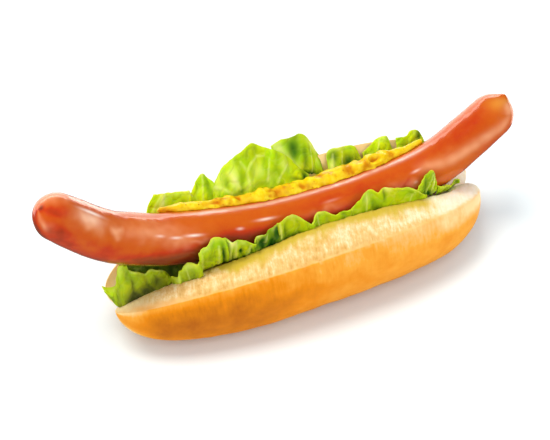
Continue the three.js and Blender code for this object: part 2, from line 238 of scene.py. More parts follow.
def grid_faces(rows: int, columns: int, closed: bool) -> list[list[int]]:
    """The four-sided faces of a grid of points.

    Args:
        rows: points along it.
        columns: points across it.
        closed: True if each row is a ring.

    Returns:
        Four point numbers for each face.
    """
    row, column = np.indices((rows - 1, columns if closed else columns - 1))
    here, there, following = row * columns, (row + 1) * columns, (column + 1) % columns
    corners = here + column, here + following, there + following, there + column
    return np.stack(corners, -1).reshape(-1, 4).tolist()


# ---- The frame and the studio ----


@dataclass
class Frame:
    """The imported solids, and where the hinge frame lies in the row frame."""

    floor_below_hinge: float = 19.5
    back_reach: float = 30.68  # how far the roll reaches behind its hinge
    origin: Array = field(default_factory=lambda: np.zeros(3))

    def locate(self) -> None:
        """Reads the hinge's place from the roll's solid."""
        low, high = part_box("bun")
        middle = (low.x + high.x) / 2 / MM
        self.origin = np.array([middle, high.y / MM - self.back_reach, self.floor_below_hinge])

    def metres(self, points: Array) -> Array:
        """Turns hinge-frame millimetres to row-frame metres."""
        return (points + self.origin) * MM

    def mesh_object(self, name: str, points: Array, faces: list, marks: Marks) -> Thing:
        """Makes a smooth-shaded mesh object.

        Args:
            name: the object's name.
            points: its points, in hinge-frame millimetres.
            faces: point numbers for each face.
            marks: named values for the points, which its material reads.

        Returns:
            The object, linked to the scene.
        """
        mesh = bpy.data.meshes.new(name)
        mesh.from_pydata(self.metres(points.reshape(-1, 3)).tolist(), [], faces)
        for mark, values in marks.items():
            layer = mesh.attributes.new(mark, "FLOAT", "POINT")
            layer.data.foreach_set("value", np.asarray(values, np.float32).ravel())
        mesh.polygons.foreach_set("use_smooth", [True] * len(mesh.polygons))
        mesh.validate()
        made = bpy.data.objects.new(name, mesh)
        bpy.context.scene.collection.objects.link(made)
        return made

    def tube(self, name: str, rings: Array, marks: Marks, turned: bool = False) -> Thing:
        """Makes a mesh object of rings of points, closed with one point at each end.

        Args:
            name: the object's name.
            rings: its points, ring by ring.
            marks: named values for the points, ring by ring.
            turned: True if its rings run the other way round.

        Returns:
            The object, linked to the scene.
        """
        rows, sides = rings.shape[:2]
        faces = grid_faces(rows, sides, True)
        tip, last = rows * sides, (rows - 1) * sides
        for side in range(sides):
            following = (side + 1) % sides
            faces += [[following, side, tip], [last + side, last + following, tip + 1]]
        if turned:
            faces = [face[::-1] for face in faces]
        points = np.vstack([rings.reshape(-1, 3), rings[[0, -1]].mean(1)])
        values = {mark: np.concatenate([v.ravel(), v[[0, -1]].mean(1)]) for mark, v in marks.items()}
        return self.mesh_object(name, points, faces, values)


def add_node(
    tree: Tree,
    kind: str,
    inputs: dict | None = None,
    out: int | str = 0,
    stops: tuple[tuple[float, str], ...] = (),
    **settings: object,
) -> Socket | None:
    """Adds a node with its settings and links.

    Args:
        tree: the tree that it goes into.
        kind: the node's type.
        inputs: for each socket, a value, an sRGB colour or the output that feeds it.
        out: which of its outputs is wanted.
        stops: for a colour ramp, its places and sRGB colours.
        settings: the node's own properties.

    Returns:
        The wanted output, if it has any.
    """
    node = tree.nodes.new(kind)
    for name, value in settings.items():
        setattr(node, name, value)
    for number, (place, colour) in enumerate(stops):
        elements = node.color_ramp.elements
        element = elements[number] if number < len(elements) else elements.new(1.0)
        element.position, element.color = place, linear(colour)
    for key, value in (inputs or {}).items():
        if isinstance(value, Socket):
            tree.links.new(value, node.inputs[key])
        else:
            node.inputs[key].default_value = linear(value) if isinstance(value, str) else value
    return node.outputs[out] if node.outputs else None


def spread(tree: Tree, value: Socket, strength: float, base: float | Socket) -> Socket:
    """Adds a noise, centred on 0 and scaled, to a base value."""
    centred = add_node(tree, "ShaderNodeMath", {0: value, 1: -0.5}, operation="ADD")
    return add_node(tree, "ShaderNodeMath", {0: centred, 1: strength, 2: base}, operation="MULTIPLY_ADD")


def coats(tree: Tree, ground: str | Socket, *laid: tuple[Socket, str | Socket]) -> Socket:
    """Lays coats of colour over each other.

    Args:
        tree: the material's tree.
        ground: the colour below them.
        laid: each coat's share and colour.

    Returns:
        The colour that shows.
    """
    for share, colour in laid:
        ground = add_node(tree, "ShaderNodeMix", {0: share, 6: ground, 7: colour}, 2, data_type="RGBA")
    return ground


class Reach(Enum):
    """What a lamp does: if it lights matt surfaces, if it gleams in glossy ones, and what it is kept to."""

    FOOD = (True, False, "food")  # colour and shade on the food, flagged off from the floor
    FLOOR = (True, False, "floor")  # brightness and soft shadow on the floor alone
    GLEAM = (False, True, "food")  # a card that is seen only in a wet skin


@dataclass(frozen=True)
class Lamp:
    """One soft box or card that faces the food."""

    name: str
    away: Point  # where it stands, from the middle of the food
    size: tuple[float, float]  # width and height
    power: float  # watts
    reach: Reach
    colour: str

    def build(self, target: Vector, kept_to: dict[str, bpy.types.Collection]) -> None:
        """Hangs the lamp.

        Args:
            target: the place that it faces.
            kept_to: the collections that lamps are kept to, by name.
        """
        data = bpy.data.lights.new(self.name, "AREA")
        data.shape = "RECTANGLE"
        data.size, data.size_y = (side * MM for side in self.size)
        data.energy = self.power
        data.color = linear(self.colour)[:3]
        lamp = bpy.data.objects.new(self.name, data)
        lamp.location = target + Vector(self.away) * MM
        lamp.rotation_mode = "QUATERNION"
        lamp.rotation_quaternion = (target - lamp.location).to_track_quat("-Z", "Y")
        lamp.visible_camera = False
        lamp.visible_diffuse, lamp.visible_glossy, lit = self.reach.value
        lamp.light_linking.receiver_collection = kept_to[lit]
        bpy.context.scene.collection.objects.link(lamp)


@dataclass
class Studio:
    """The white sweep, the soft boxes and the camera."""

    azimuth: float = -24.0
    elevation: float = 50.0
    distance: float = 800.0  # from the camera to the point it looks at
    looks_at: Point = (-4.50, 10.47, 6.49)
    lens: float = 128.3  # on a 36 mm sensor
    seen_from_to: tuple[float, float] = (0.05, 20.0)  # metres from the camera
    lit_middle: Point = (0.0, 0.0, 10.0)
    floor_size: float = 6000.0
    sky_zenith: float = 0.74
    sky_horizon: float = 0.46
    sky_colour: str = "#fafaff"
    lamps: tuple[Lamp, ...] = (
        Lamp("soft_box_back_left", (-700, 750, 1230), (620, 620), 14.3, Reach.FOOD, "#fffaf3"),
        Lamp("soft_box_above", (-390, 170, 1650), (760, 760), 22.0, Reach.FLOOR, "#fff9f0"),
        Lamp("wash_front", (-380, -850, 1250), (700, 700), 8.0, Reach.FLOOR, "#cbe7f2"),
        Lamp("soft_box_front", (350, -1350, 620), (800, 800), 4.75, Reach.FOOD, "#f4f6ff"),
        Lamp("fill_left", (-880, -140, 780), (400, 400), 3.3, Reach.FOOD, "#fff4e2"),
        Lamp("fill_right", (780, -540, 540), (400, 400), 2.4, Reach.FOOD, "#fffaf0"),
        Lamp("strip_behind", (0, 900, 300), (2000, 240), 8.4, Reach.GLEAM, "#fff6ee"),
        Lamp("sweep_behind", (0, 900, -180), (2200, 720), 11.0, Reach.GLEAM, "#fff4ea"),
        Lamp("sweep_right", (950, 500, -500), (1200, 800), 6.9, Reach.GLEAM, "#fff4ea"),
        Lamp("sweep_below", (0, -60, -600), (1500, 1500), 1.3, Reach.GLEAM, "#fff1e2"),
    )

    def camera(self, frame: Frame) -> None:
        """Sets up the camera.

        Args:
            frame: places what it looks at.
        """
        turn, rise = math.radians(self.azimuth), math.radians(self.elevation)
        back = Vector((math.sin(turn) * math.cos(rise), -math.cos(turn) * math.cos(rise), math.sin(rise)))
        data = bpy.data.cameras.new("camera")
        data.lens = self.lens
        data.clip_start, data.clip_end = self.seen_from_to
        camera = bpy.data.objects.new("camera", data)
        camera.location = Vector(frame.metres(np.array(self.looks_at))) + back * self.distance * MM
        camera.rotation_mode = "QUATERNION"
        camera.rotation_quaternion = (-back).to_track_quat("-Z", "Y")
        bpy.context.scene.collection.objects.link(camera)
        bpy.context.scene.camera = camera

    def sky(self) -> None:
        """Sets a cool sky, brighter overhead, that a glossy skin doesn't mirror."""
        world = bpy.data.worlds.new("studio_sky")
        world.use_nodes = True
        tree = world.node_tree
        tree.nodes.clear()
        height = add_node(tree, "ShaderNodeSeparateXYZ", {0: add_node(tree, "ShaderNodeTexCoord")}, "Z")
        strength = add_node(tree, "ShaderNodeMapRange", {0: height, 3: self.sky_horizon, 4: self.sky_zenith})
        sky = add_node(tree, "ShaderNodeBackground", {"Color": self.sky_colour, "Strength": strength})
        add_node(tree, "ShaderNodeOutputWorld", {"Surface": sky})
        world.cycles_visibility.glossy = False
        bpy.context.scene.world = world

    def build(self, frame: Frame) -> bpy.types.Collection:
        """Lays the floor, and hangs the lights and the sky.

        Args:
            frame: places the middle of the food.

        Returns:
            The collection that the food goes into.
        """
        half = self.floor_size / 2 * MM
        mesh = bpy.data.meshes.new("floor")
        square = [(-half, -half, 0), (half, -half, 0), (half, half, 0), (-half, half, 0)]
        mesh.from_pydata(square, [], [(0, 1, 2, 3)])
        floor = bpy.data.objects.new("floor", mesh)
        bpy.context.scene.collection.objects.link(floor)
        mesh.materials.append(PaperSweep().material())
        floor.visible_glossy = floor.visible_shadow = False
        floor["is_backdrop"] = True
        kept_to = {name: bpy.data.collections.new(name) for name in ("food", "floor")}
        kept_to["floor"].objects.link(floor)
        for lamp in self.lamps:
            lamp.build(Vector(frame.metres(np.array(self.lit_middle))), kept_to)
        self.sky()
        bpy.context.scene.view_settings.view_transform = "Standard"
        bpy.context.scene.view_settings.look = "None"
        return kept_to["food"]


# ---- Finishes ----


@dataclass(frozen=True)
class Finish:
    """What every finish has: how it meets light, and nodes that read the mesh's marks and end in one shader.

    Patterns lie in the object's own space and are sized in millimetres. `paint` adds a finish's nodes to a
    tree and returns what some sockets of the shader are set to or fed by, beside those that the fields set.
    """

    name: str
    ior: float
    roughness: float
    gloss: float
    glow: float = 0.0  # share of the light that goes in under the surface
    glow_reach: Point = (1.0, 1.0, 1.0)  # how far its red, green and blue go
    glow_depth: float = 1.0  # mm, the unit of that reach

    def material(self) -> bpy.types.Material:
        """Builds the material.

        Returns:
            The material, named for what the food is and how its surface was made.
        """
        material = bpy.data.materials.new(self.name)
        material.use_nodes = True
        tree = material.node_tree
        tree.nodes.clear()
        look = {
            "IOR": self.ior,
            "Roughness": self.roughness,
            "Specular IOR Level": self.gloss,
            "Subsurface Weight": self.glow,
            "Subsurface Radius": self.glow_reach,
            "Subsurface Scale": self.glow_depth * MM,
        }
        shader = add_node(tree, "ShaderNodeBsdfPrincipled", look | self.paint(tree))
        add_node(tree, "ShaderNodeOutputMaterial", {"Surface": shader})
        return material

    def paint(self, tree: Tree) -> Look:
        """Adds the finish's own nodes."""
        raise NotImplementedError

    def marks(self, tree: Tree, *names: str) -> list[Socket]:
        """Reads marks of the mesh."""
        return [add_node(tree, "ShaderNodeAttribute", out="Fac", attribute_name=name) for name in names]

    def clouds(self, tree: Tree, cell: float, detail: float, roughness: float) -> Socket:
        """Soft clouds through the food, a cell apart."""
        look = {"Vector": add_node(tree, "ShaderNodeTexCoord", out="Object"), "Scale": 1 / (cell * MM)}
        return add_node(tree, "ShaderNodeTexNoise", look | {"Detail": detail, "Roughness": roughness})


@dataclass(frozen=True)
class PaperSweep(Finish):
    """Matt white background paper: bright and even, with only soft shade on it."""

    name: str = "background_paper_matt"
    ior: float = 1.5
    roughness: float = 1.0
    gloss: float = 0.0
    colour: str = "#eff6f7"

    def paint(self, tree: Tree) -> Look:
        """Paints plain paper."""
        return {"Base Color": self.colour}


@dataclass(frozen=True)
class BakedRoll(Finish):
    """Wheat roll, egg washed and baked: a thin satin crust, golden and paler below. Painted shade darkens
    its lower left, and a painted sheen pales its rim and right end.

    Where it was cut, the crumb is cream and matt and torn in fibres. Painted shade darkens its pores and
    its left part, under the frankfurter's raised end, and oil from the filling tints its inner edge, with
    painted shade and a painted green reflection from the leaves.
    """

    name: str = "wheat_roll_baked_and_cut"
    ior: float = 1.45
    roughness: float = 0.45
    crumb_roughness: float = 0.9
    gloss: float = 0.1
    crumb_gloss: float = 0.0
    glow: float = 0.12
    glow_reach: Point = (1.0, 0.6, 0.3)
    glow_depth: float = 0.8
    ramp: tuple[float, ...] = (0.0, 0.36, 0.62, 1.0)
    crust: tuple[str, ...] = ("#fcd898", "#f4a638", "#e6880a", "#b46008")  # from pale to brown
    crumb: tuple[str, ...] = ("#fdf6e2", "#f6dfae", "#e8c07a", "#cd9848")  # from white to tan
    # oil from the filling, with painted shade and a painted green reflection from the leaves
    oil_and_leaf_shade: str = "#ceb23a"
    mottle: float = 8.0  # mm between darker clouds on the crust
    speck: float = 2.6  # mm between darker specks in the crumb
    fibre: tuple[float, float] = (1.3, 7.0)  # mm, width and length of a torn fibre
    thread: tuple[float, float] = (0.7, 2.6)  # mm, of the threads in it, coarser than real ones, to show

    def paint(self, tree: Tree) -> Look:
        """Paints the crust, and the crumb where it shows.

        Args:
            tree: the material's tree.

        Returns:
            What the shader's sockets are set to or fed by.
        """
        crumb, brown, oil_and_leaf_shade, tan, creased, torn, grain, rise = self.marks(
            tree, "crumb", "brown", "oil_and_leaf_shade", "tan", "creased", "torn", "grain", "rise"
        )
        clouds, specks = (self.clouds(tree, cell, 4.0, 0.6) for cell in (self.mottle, self.speck))
        drawn_out = []
        for wide, long in (self.fibre, self.thread):
            across = add_node(tree, "ShaderNodeMath", {0: grain, 1: 1 / wide}, operation="MULTIPLY")
            along = add_node(tree, "ShaderNodeMath", {0: rise, 1: 1 / long}, operation="MULTIPLY")
            place = add_node(tree, "ShaderNodeCombineXYZ", {0: across, 1: along})
            look = {"Scale": 1.0, "Detail": 2.0, "Roughness": 0.55}
            drawn_out.append(add_node(tree, "ShaderNodeTexNoise", {"Vector": place, **look}))
        fibres, threads = drawn_out
        folds = {0: spread(tree, fibres, 1.0, 0.0), 1: creased, 2: spread(tree, clouds, 0.5, brown)}
        weave = spread(tree, specks, 0.7, spread(tree, threads, 0.5, spread(tree, fibres, 0.4, 0.0)))
        outside, inside = (
            add_node(
                tree,
                "ShaderNodeValToRGB",
                {"Fac": add_node(tree, "ShaderNodeMath", share, operation="MULTIPLY_ADD")},
                stops=tuple(zip(self.ramp, colours)),
            )
            for share, colours in ((folds, self.crust), ({0: weave, 1: torn, 2: tan}, self.crumb))
        )
        pairs = (self.roughness, self.crumb_roughness), (self.gloss, self.crumb_gloss)
        roughness, gloss = (
            add_node(tree, "ShaderNodeMapRange", {0: crumb, 3: low, 4: high}) for low, high in pairs
        )
        fine = {0: spread(tree, threads, 1.0, fibres), 1: crumb}
        fine = add_node(tree, "ShaderNodeMath", fine, operation="MULTIPLY")
        bump = add_node(tree, "ShaderNodeBump", {"Strength": 0.4, "Distance": 0.3 * MM, "Height": fine})
        colour = coats(tree, outside, (crumb, coats(tree, inside, (oil_and_leaf_shade, self.oil_and_leaf_shade))))
        return {"Base Color": colour, "Roughness": roughness, "Specular IOR Level": gloss, "Normal": bump}


@dataclass(frozen=True)
class SmokedCasing(Finish):
    """Frankfurter in its casing, smoked and steamed: tight and wet, orange, redder where the smoke lay
    thick.

    Painted shade darkens its front and underside towards maroon. Painted reflections lie on it in soft
    pale patches, and painted highlights on the casing's small creases and along its top.
    """

    name: str = "frankfurter_casing_smoked"
    ior: float = 1.42
    roughness: float = 0.26
    gloss: float = 0.3
    glow: float = 0.1
    glow_reach: Point = (1.0, 0.35, 0.15)
    glow_depth: float = 1.2
    wet: float = 0.5
    wet_roughness: float = 0.09
    orange: str = "#ce600f"
    red: str = "#c23a10"
    maroon: str = "#7d2c12"
    # painted reflections, peach
    painted_reflection: str = "#fab888"
    amber: str = "#df9030"
    # painted highlights on the creases and along the top
    crease: str = "#ffe9da"
    cloud: float = 15.0  # mm between deeper patches
    grain: float = 1.5  # mm, the meat that shows through the casing

    def paint(self, tree: Tree) -> Look:
        """Paints the skin from orange to maroon, the maroon partly painted shade, and its painted
        reflections, amber and painted highlights over that.

        Args:
            tree: the material's tree.

        Returns:
            What the shader's sockets are set to or fed by.
        """
        deep, pale, amber, gleam = self.marks(tree, "deep", "pale", "amber", "gleam")
        meat = self.clouds(tree, self.grain, 3.0, 0.6)
        shade = spread(tree, meat, 0.2, spread(tree, self.clouds(tree, self.cloud, 3.0, 0.55), 0.55, deep))
        stops = (0.0, self.orange), (0.5, self.red), (1.0, self.maroon)
        skin = add_node(tree, "ShaderNodeValToRGB", {"Fac": shade}, stops=stops)
        colour = coats(tree, skin, (pale, self.painted_reflection), (amber, self.amber), (gleam, self.crease))
        bump = add_node(tree, "ShaderNodeBump", {"Strength": 0.15, "Distance": 0.2 * MM, "Height": meat})
        wet = {"Coat Weight": self.wet, "Coat Roughness": self.wet_roughness}
        return {"Base Color": colour, "Normal": bump} | wet


@dataclass(frozen=True)
class GrainyMustard(Finish):
    """Mustard with crushed seed, squeezed from a nozzle: wet and bright yellow.

    Painted shade makes it orange in its folds and beneath, and the seeds' husks fleck it with brown.
    """

    name: str = "mustard_grainy_squeezed"
    ior: float = 1.4
    roughness: float = 0.26
    gloss: float = 0.35
    glow: float = 0.2
    glow_reach: Point = (1.0, 0.7, 0.1)
    yellow: str = "#f0cc0c"
    light: str = "#f8e234"
    # painted shade, orange, in its folds, hollows and underside
    fold: str = "#cc7602"
    husk: str = "#b8690c"
    cloud: float = 2.2  # mm between lighter clouds
    fleck: float = 1.6  # mm between flecks of husk
    bare: float = 0.7  # share of the seeds that show no husk

    def paint(self, tree: Tree) -> Look:
        """Paints two yellows, orange painted shade in the folds, and husk over them.

        Args:
            tree: the material's tree.

        Returns:
            What the shader's sockets are set to or fed by.
        """
        (low,) = self.marks(tree, "low")
        place = add_node(tree, "ShaderNodeTexCoord", out="Object")
        seeds = add_node(tree, "ShaderNodeTexVoronoi", {"Vector": place, "Scale": 1 / (self.fleck * MM)})
        close = add_node(tree, "ShaderNodeMapRange", {0: seeds, 1: 0.12, 2: 0.36, 3: 0.6, 4: 0.0})
        picked = add_node(tree, "ShaderNodeSeparateColor", {0: seeds.node.outputs["Color"]})
        picked = add_node(tree, "ShaderNodeMath", {0: picked, 1: self.bare}, operation="GREATER_THAN")
        husk = add_node(tree, "ShaderNodeMath", {0: close, 1: picked}, operation="MULTIPLY")
        clouds = self.clouds(tree, self.cloud, 3.0, 0.5)
        light = add_node(tree, "ShaderNodeMapRange", {0: clouds, 1: 0.4, 2: 0.7})
        laid = (light, self.light), (low, self.fold), (husk, self.husk)
        return {"Base Color": coats(tree, self.yellow, *laid)}


@dataclass(frozen=True)
class LettuceLeaf(Finish):
    """Green leaf lettuce, washed and torn: thin, satin, quilted between its veins.

    Light goes through it and its ribs are pale. A painted highlight lies along its rim, painted sheen
    in its pale blotches, and painted shade in its hollows and towards its root.
    """

    name: str = "green_leaf_lettuce_torn"
    ior: float = 1.4
    roughness: float = 0.42
    gloss: float = 0.12
    glow: float = 0.65
    glow_reach: Point = (0.8, 1.0, 0.15)
    glow_depth: float = 1.2
    fresh: str = "#b4da10"
    yellow: str = "#d2de0a"
    # painted shade, from deep green to olive
    deep: str = "#2f6418"
    olive: str = "#6e6c34"
    # the ribs, and painted sheen in the pale blotches
    rib: str = "#e0e98a"
    # a painted highlight along the rim
    edge: str = "#d6e636"
    patch: float = 8.0  # mm between greener and yellower patches

    def paint(self, tree: Tree) -> Look:
        """Paints two fresh greens, and over them the painted shade of the hollows, the painted highlight of
        the rim and the ribs with their painted sheen.

        Args:
            tree: the material's tree.

        Returns:
            What the shader's sockets are set to or fed by.
        """
        vein_and_sheen, rim, depth, dull = self.marks(tree, "vein_and_sheen", "rim", "depth", "dull")
        clouds = self.clouds(tree, self.patch, 4.0, 0.6)
        patch = add_node(tree, "ShaderNodeMapRange", {0: clouds, 1: 0.36, 2: 0.66})
        shade = coats(tree, self.deep, (dull, self.olive))
        laid = (patch, self.yellow), (depth, shade), (rim, self.edge), (vein_and_sheen, self.rib)
        return {"Base Color": coats(tree, self.fresh, *laid)}


# ---- The frankfurter ----


@dataclass
class Frankfurter:
    """The sausage: a tube on a curved line, rounded at both ends.

    Its colour patches and creases are rows of: place along the roll, turn from its top with the front
    below 0, half length, half width in degrees, and strength. Red patches are partly painted shade,
    pale ones are painted reflections and highlights, and creases carry painted highlights.
    """

    frame: Frame
    line: tuple[Point, ...] = (
        (-101.4, 12.1, 58.1), (-97, 11.7, 53.6), (-89.5, 11.0, 45.4), (-81.8, 10.2, 37.4),
        (-75.2, 9.5, 31.9), (-67.3, 8.7, 27.5), (-55.4, 7.7, 22.3), (-35.8, 6.2, 16.8), (-16, 4.9, 12.6),
        (4.7, 4.4, 9.9), (25.6, 3.9, 9.8), (46.5, 3.6, 12.0), (57.5, 3.1, 15.0), (67.4, 2.5, 20.2),
        (78.2, 1.8, 29.5), (88, 1.0, 38.6), (94.3, 0.5, 44.1),
    )
    radii: Table = (
        (-101.4, 8.5), (-97, 9.1), (-89.5, 9.8), (-81.8, 10.1), (-75.2, 10.2), (-67.3, 10.4), (-55.4, 10.5),
        (-35.8, 10.7), (-16, 10.8), (4.7, 10.8), (25.6, 10.7), (46.5, 10.3), (57.5, 9.9), (67.4, 9.5),
        (78.2, 9.3), (88, 8.9), (94.3, 8.8),
    )
    # redder, darker patches: smoke colour, and painted shade on its underside
    red: Patches = (
        (-95.2, -96, 4.2, 24, 0.62), (-91, -106, 5, 16, 0.42), (-86, -84, 4, 14, 0.3),
        (-78.6, -88, 4.5, 16, 0.42), (-99.4, -46, 2.6, 22, 0.5), (-101.2, -70, 1.4, 30, 0.3),
        (-97.0, -154, 2.4, 15, 0.6), (82, -14, 12, 26, 0.3), (66, -8, 12, 14, 0.22), (51, -46, 1.6, 7, 0.5),
        (-80, 0, 9, 12, 0.12), (20, -14, 30, 9, 0.2), (-68, -92, 9, 14, 0.35),
    )
    # painted reflections and highlights, pale peach
    pale: Patches = (
        (-99.2, 18, 3.6, 26, 0.5), (-99.4, -108, 1.8, 16, 0.45), (-88.6, -36, 4.8, 18, 1.0),
        (-78.4, -36, 2.8, 12, 0.85), (-63, -29, 13, 20, 0.5), (-62, -8, 9, 10, 0.25),
        (-52, -48, 7, 13, 0.45), (-44, -52, 6, 7, 0.35), (12, -36, 8, 7, 0.25), (45, -40, 5, 8, 0.25),
        (52, -52, 3, 8, 0.4), (66, -38, 7, 10, 0.25), (93.7, -58, 1.3, 42, 0.75),
    )
    # painted highlights on the casing's creases, which are also raised a little
    creases: Patches = (
        (-88.6, -17, 3.6, 4.2, 1.0), (-88.8, -32, 3.6, 12, 0.28), (-60, -38, 1.6, 2.6, 0.55),
        (-53, -42, 2.2, 2.6, 0.75), (-45.4, -39.5, 3, 2.6, 1.0), (-26, -36, 1.3, 2.6, 0.6),
        (-14.5, -24, 3.4, 2.6, 0.85), (16, -20, 3, 2.6, 0.2), (56, -28, 2, 2.6, 0.6),
        (53.6, -51, 0.8, 3, 0.35),
    )
    band_turn: Table = ((54, -24), (62, -32), (70, -51), (84, -72), (92, -84))  # a painted reflection of the floor: pale along the underside of its right end
    band_strength: Table = ((54, 0.0), (62, 0.5), (70, 0.62), (84, 0.62), (92, 0.45))
    band_width: float = 14.0
    shade_turn: Table = (  # where the painted shade on its front and underside begins
        (-100, -112), (-80, -88), (-60, -58), (-32, -24), (48, -28), (60, -84), (75, -105),
    )
    shade_blur: Table = ((-60, 48), (-30, 38))
    shade_strength: Table = ((-90, 0.4), (-74, 0.6), (-55, 0.9), (50, 0.95), (62, 0.5))
    shade_back: tuple[float, float] = (-225, -165)  # turns where it fades out below the back
    dimple: Point = (-100.1, 11.7, 59.0)  # where the casing was twisted shut
    dimple_stain: float = 1.304
    dimple_reach: float = 1.483
    dimple_depth: float = 0.2
    knot: Point = (93.8, 3.2, 45.4)  # and where it was cut off
    knot_way: Point = (0.5, 0.25, 0.83)
    knot_reach: float = 2.3
    knot_height: float = 1.3
    cap: float = 9.5
    stations: int = 470
    cap_stations: int = 28
    sides: int = 156
    lump: float = 0.16  # how uneven the skin is

    def __post_init__(self) -> None:
        """Fits the centre line."""
        self.centre = Line(self.line)

    def push_out(self, points: Array, gap: float) -> Array:
        """Moves points that lie in it out of it.

        Args:
            points: the points.
            gap: how far from its skin they end.

        Returns:
            The points, moved or not.
        """
        flat = points.reshape(-1, 3).copy()
        axis = self.centre.at(np.linspace(0, 1, 240))
        least = read(self.radii, axis[:, 0]) + gap
        for part in np.array_split(flat, len(flat) // 4000 + 1):
            nearest = np.linalg.norm(part[:, None] - axis[None], axis=-1).argmin(1)
            away = part - axis[nearest]
            out = least[nearest][:, None]
            inside = np.linalg.norm(away, axis=1, keepdims=True) < out
            part[:] = np.where(inside, axis[nearest] + unit(away) * out, part)
        return flat.reshape(points.shape)

    def painted(self, x: Array, turn: Array, below: Array, points: Array) -> Marks:
        """The skin's colour marks, with its painted shade, reflections and highlights.

        Args:
            x: places along the roll.
            turn: turns from its top.
            below: how far each place faces down.
            points: the places in space.

        Returns:
            The marks that its material reads.
        """
        ragged = 0.25 * noise(points, 3.4, 17)
        beneath = np.where(turn > 90, turn - 360, turn)  # runs on under the skin, to meet itself at the back
        spots = x + 1.1 * noise(points, 4.5, 18), beneath + 9 * noise(points, 3.6, 19)
        # painted shade: darker where the skin faces down, and on its front and underside
        start = read(self.shade_turn, x)
        shade = ease(start, start - read(self.shade_blur, x), beneath) * ease(*self.shade_back, beneath)
        deep = 0.1 + 0.3 * below + patches(*spots, self.red) * (1 + ragged)
        deep = deep + read(self.shade_strength, x) * shade
        # painted reflections: the pale patches and a band along the right end
        band = read(self.band_strength, x) * bell(turn, read(self.band_turn, x), self.band_width)
        pale = np.maximum(patches(*spots, self.pale), band * ease(97, 90, x)) * (0.85 + ragged)
        # a painted highlight along its top, beside the mustard
        rim_highlight = 0.35 * bell(turn, 17, 7) * ease(-52, -34, x) * ease(72, 56, x) * (1 + ragged)
        return {
            "deep": np.clip(deep + 0.9 * near(points, self.dimple, self.dimple_stain), 0, 1),
            "pale": np.clip(pale, 0, 1),
            "amber": 0.8 * bell(x, 92.5, 3.0) * bell(turn, -14, 26),
            "gleam": np.maximum(patches(x, turn, self.creases), rim_highlight),
        }

    def build(self) -> Thing:
        """Builds the skin.

        Returns:
            The skin's object.
        """
        cap = self.cap / self.centre.length
        short = np.cos(0.5 * np.pi * np.arange(1, self.cap_stations + 1) / self.cap_stations)
        ends, rounding = cap * (1 - short), np.sqrt(1 - short**2)
        middle = np.linspace(cap, 1 - cap, self.stations + 1)[1:-1]
        along = np.concatenate([ends, middle, 1 - ends[::-1]])
        full = np.concatenate([rounding, np.ones(len(middle)), rounding[::-1]])[:, None]
        centre, forward = self.centre.at(along), self.centre.direction(along)
        down = unit(np.cross(np.array([0.0, 1.0, 0.0]), forward))
        back = np.cross(forward, down)
        angle = 2 * np.pi * np.arange(self.sides) / self.sides
        ring = np.cos(angle)[None, :, None] * down[:, None] + np.sin(angle)[None, :, None] * back[:, None]
        points = centre[:, None] + ring * (read(self.radii, centre[:, :1]) * full)[..., None]
        x = centre[:, :1] * np.ones(self.sides)
        turn = np.degrees(np.arctan2(np.sin(angle), -np.cos(angle)))[None] * np.ones(x.shape)
        marks = self.painted(x, turn, np.clip(-ring[..., 2], 0, 1), points)
        lumps = self.lump * rough_noise(points, 14.0, 3) + 0.05 * rough_noise(points, 3.0, 9)
        points = points + ring * (lumps * full + 0.1 * marks["gleam"])[..., None]
        dimple = self.dimple_depth * near(points, self.dimple, self.dimple_reach)
        points = points + dimple[..., None] * forward[:, None]
        knot = self.knot_height * near(points, self.knot, self.knot_reach)
        points = points + knot[..., None] * unit(np.array(self.knot_way))
        skin = self.frame.tube("frankfurter_skin", points, marks)
        skin.data.materials.append(SmokedCasing().material())
        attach(skin, "root")
        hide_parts("sausage")
        return skin


# ---- The roll ----


class Side(Enum):
    """Which half of the roll, by the way it lies from the hinge."""

    FRONT = -1
    BACK = 1


@dataclass(frozen=True)
class Half:
    """One half of the roll: its width, how far it is swung open, and how its cut face bellies out."""

    side: Side
    width: float
    opened: float
    belly_ends: float
    belly_middle: float
    pale_tip: float  # how much paler its crust is at the left tip and in the painted shade at its lower left
    lap: float  # mm of its cut face that the crust laps over
    clean: float  # how little of its cut face is tanned or tinted by oil, with their painted shade
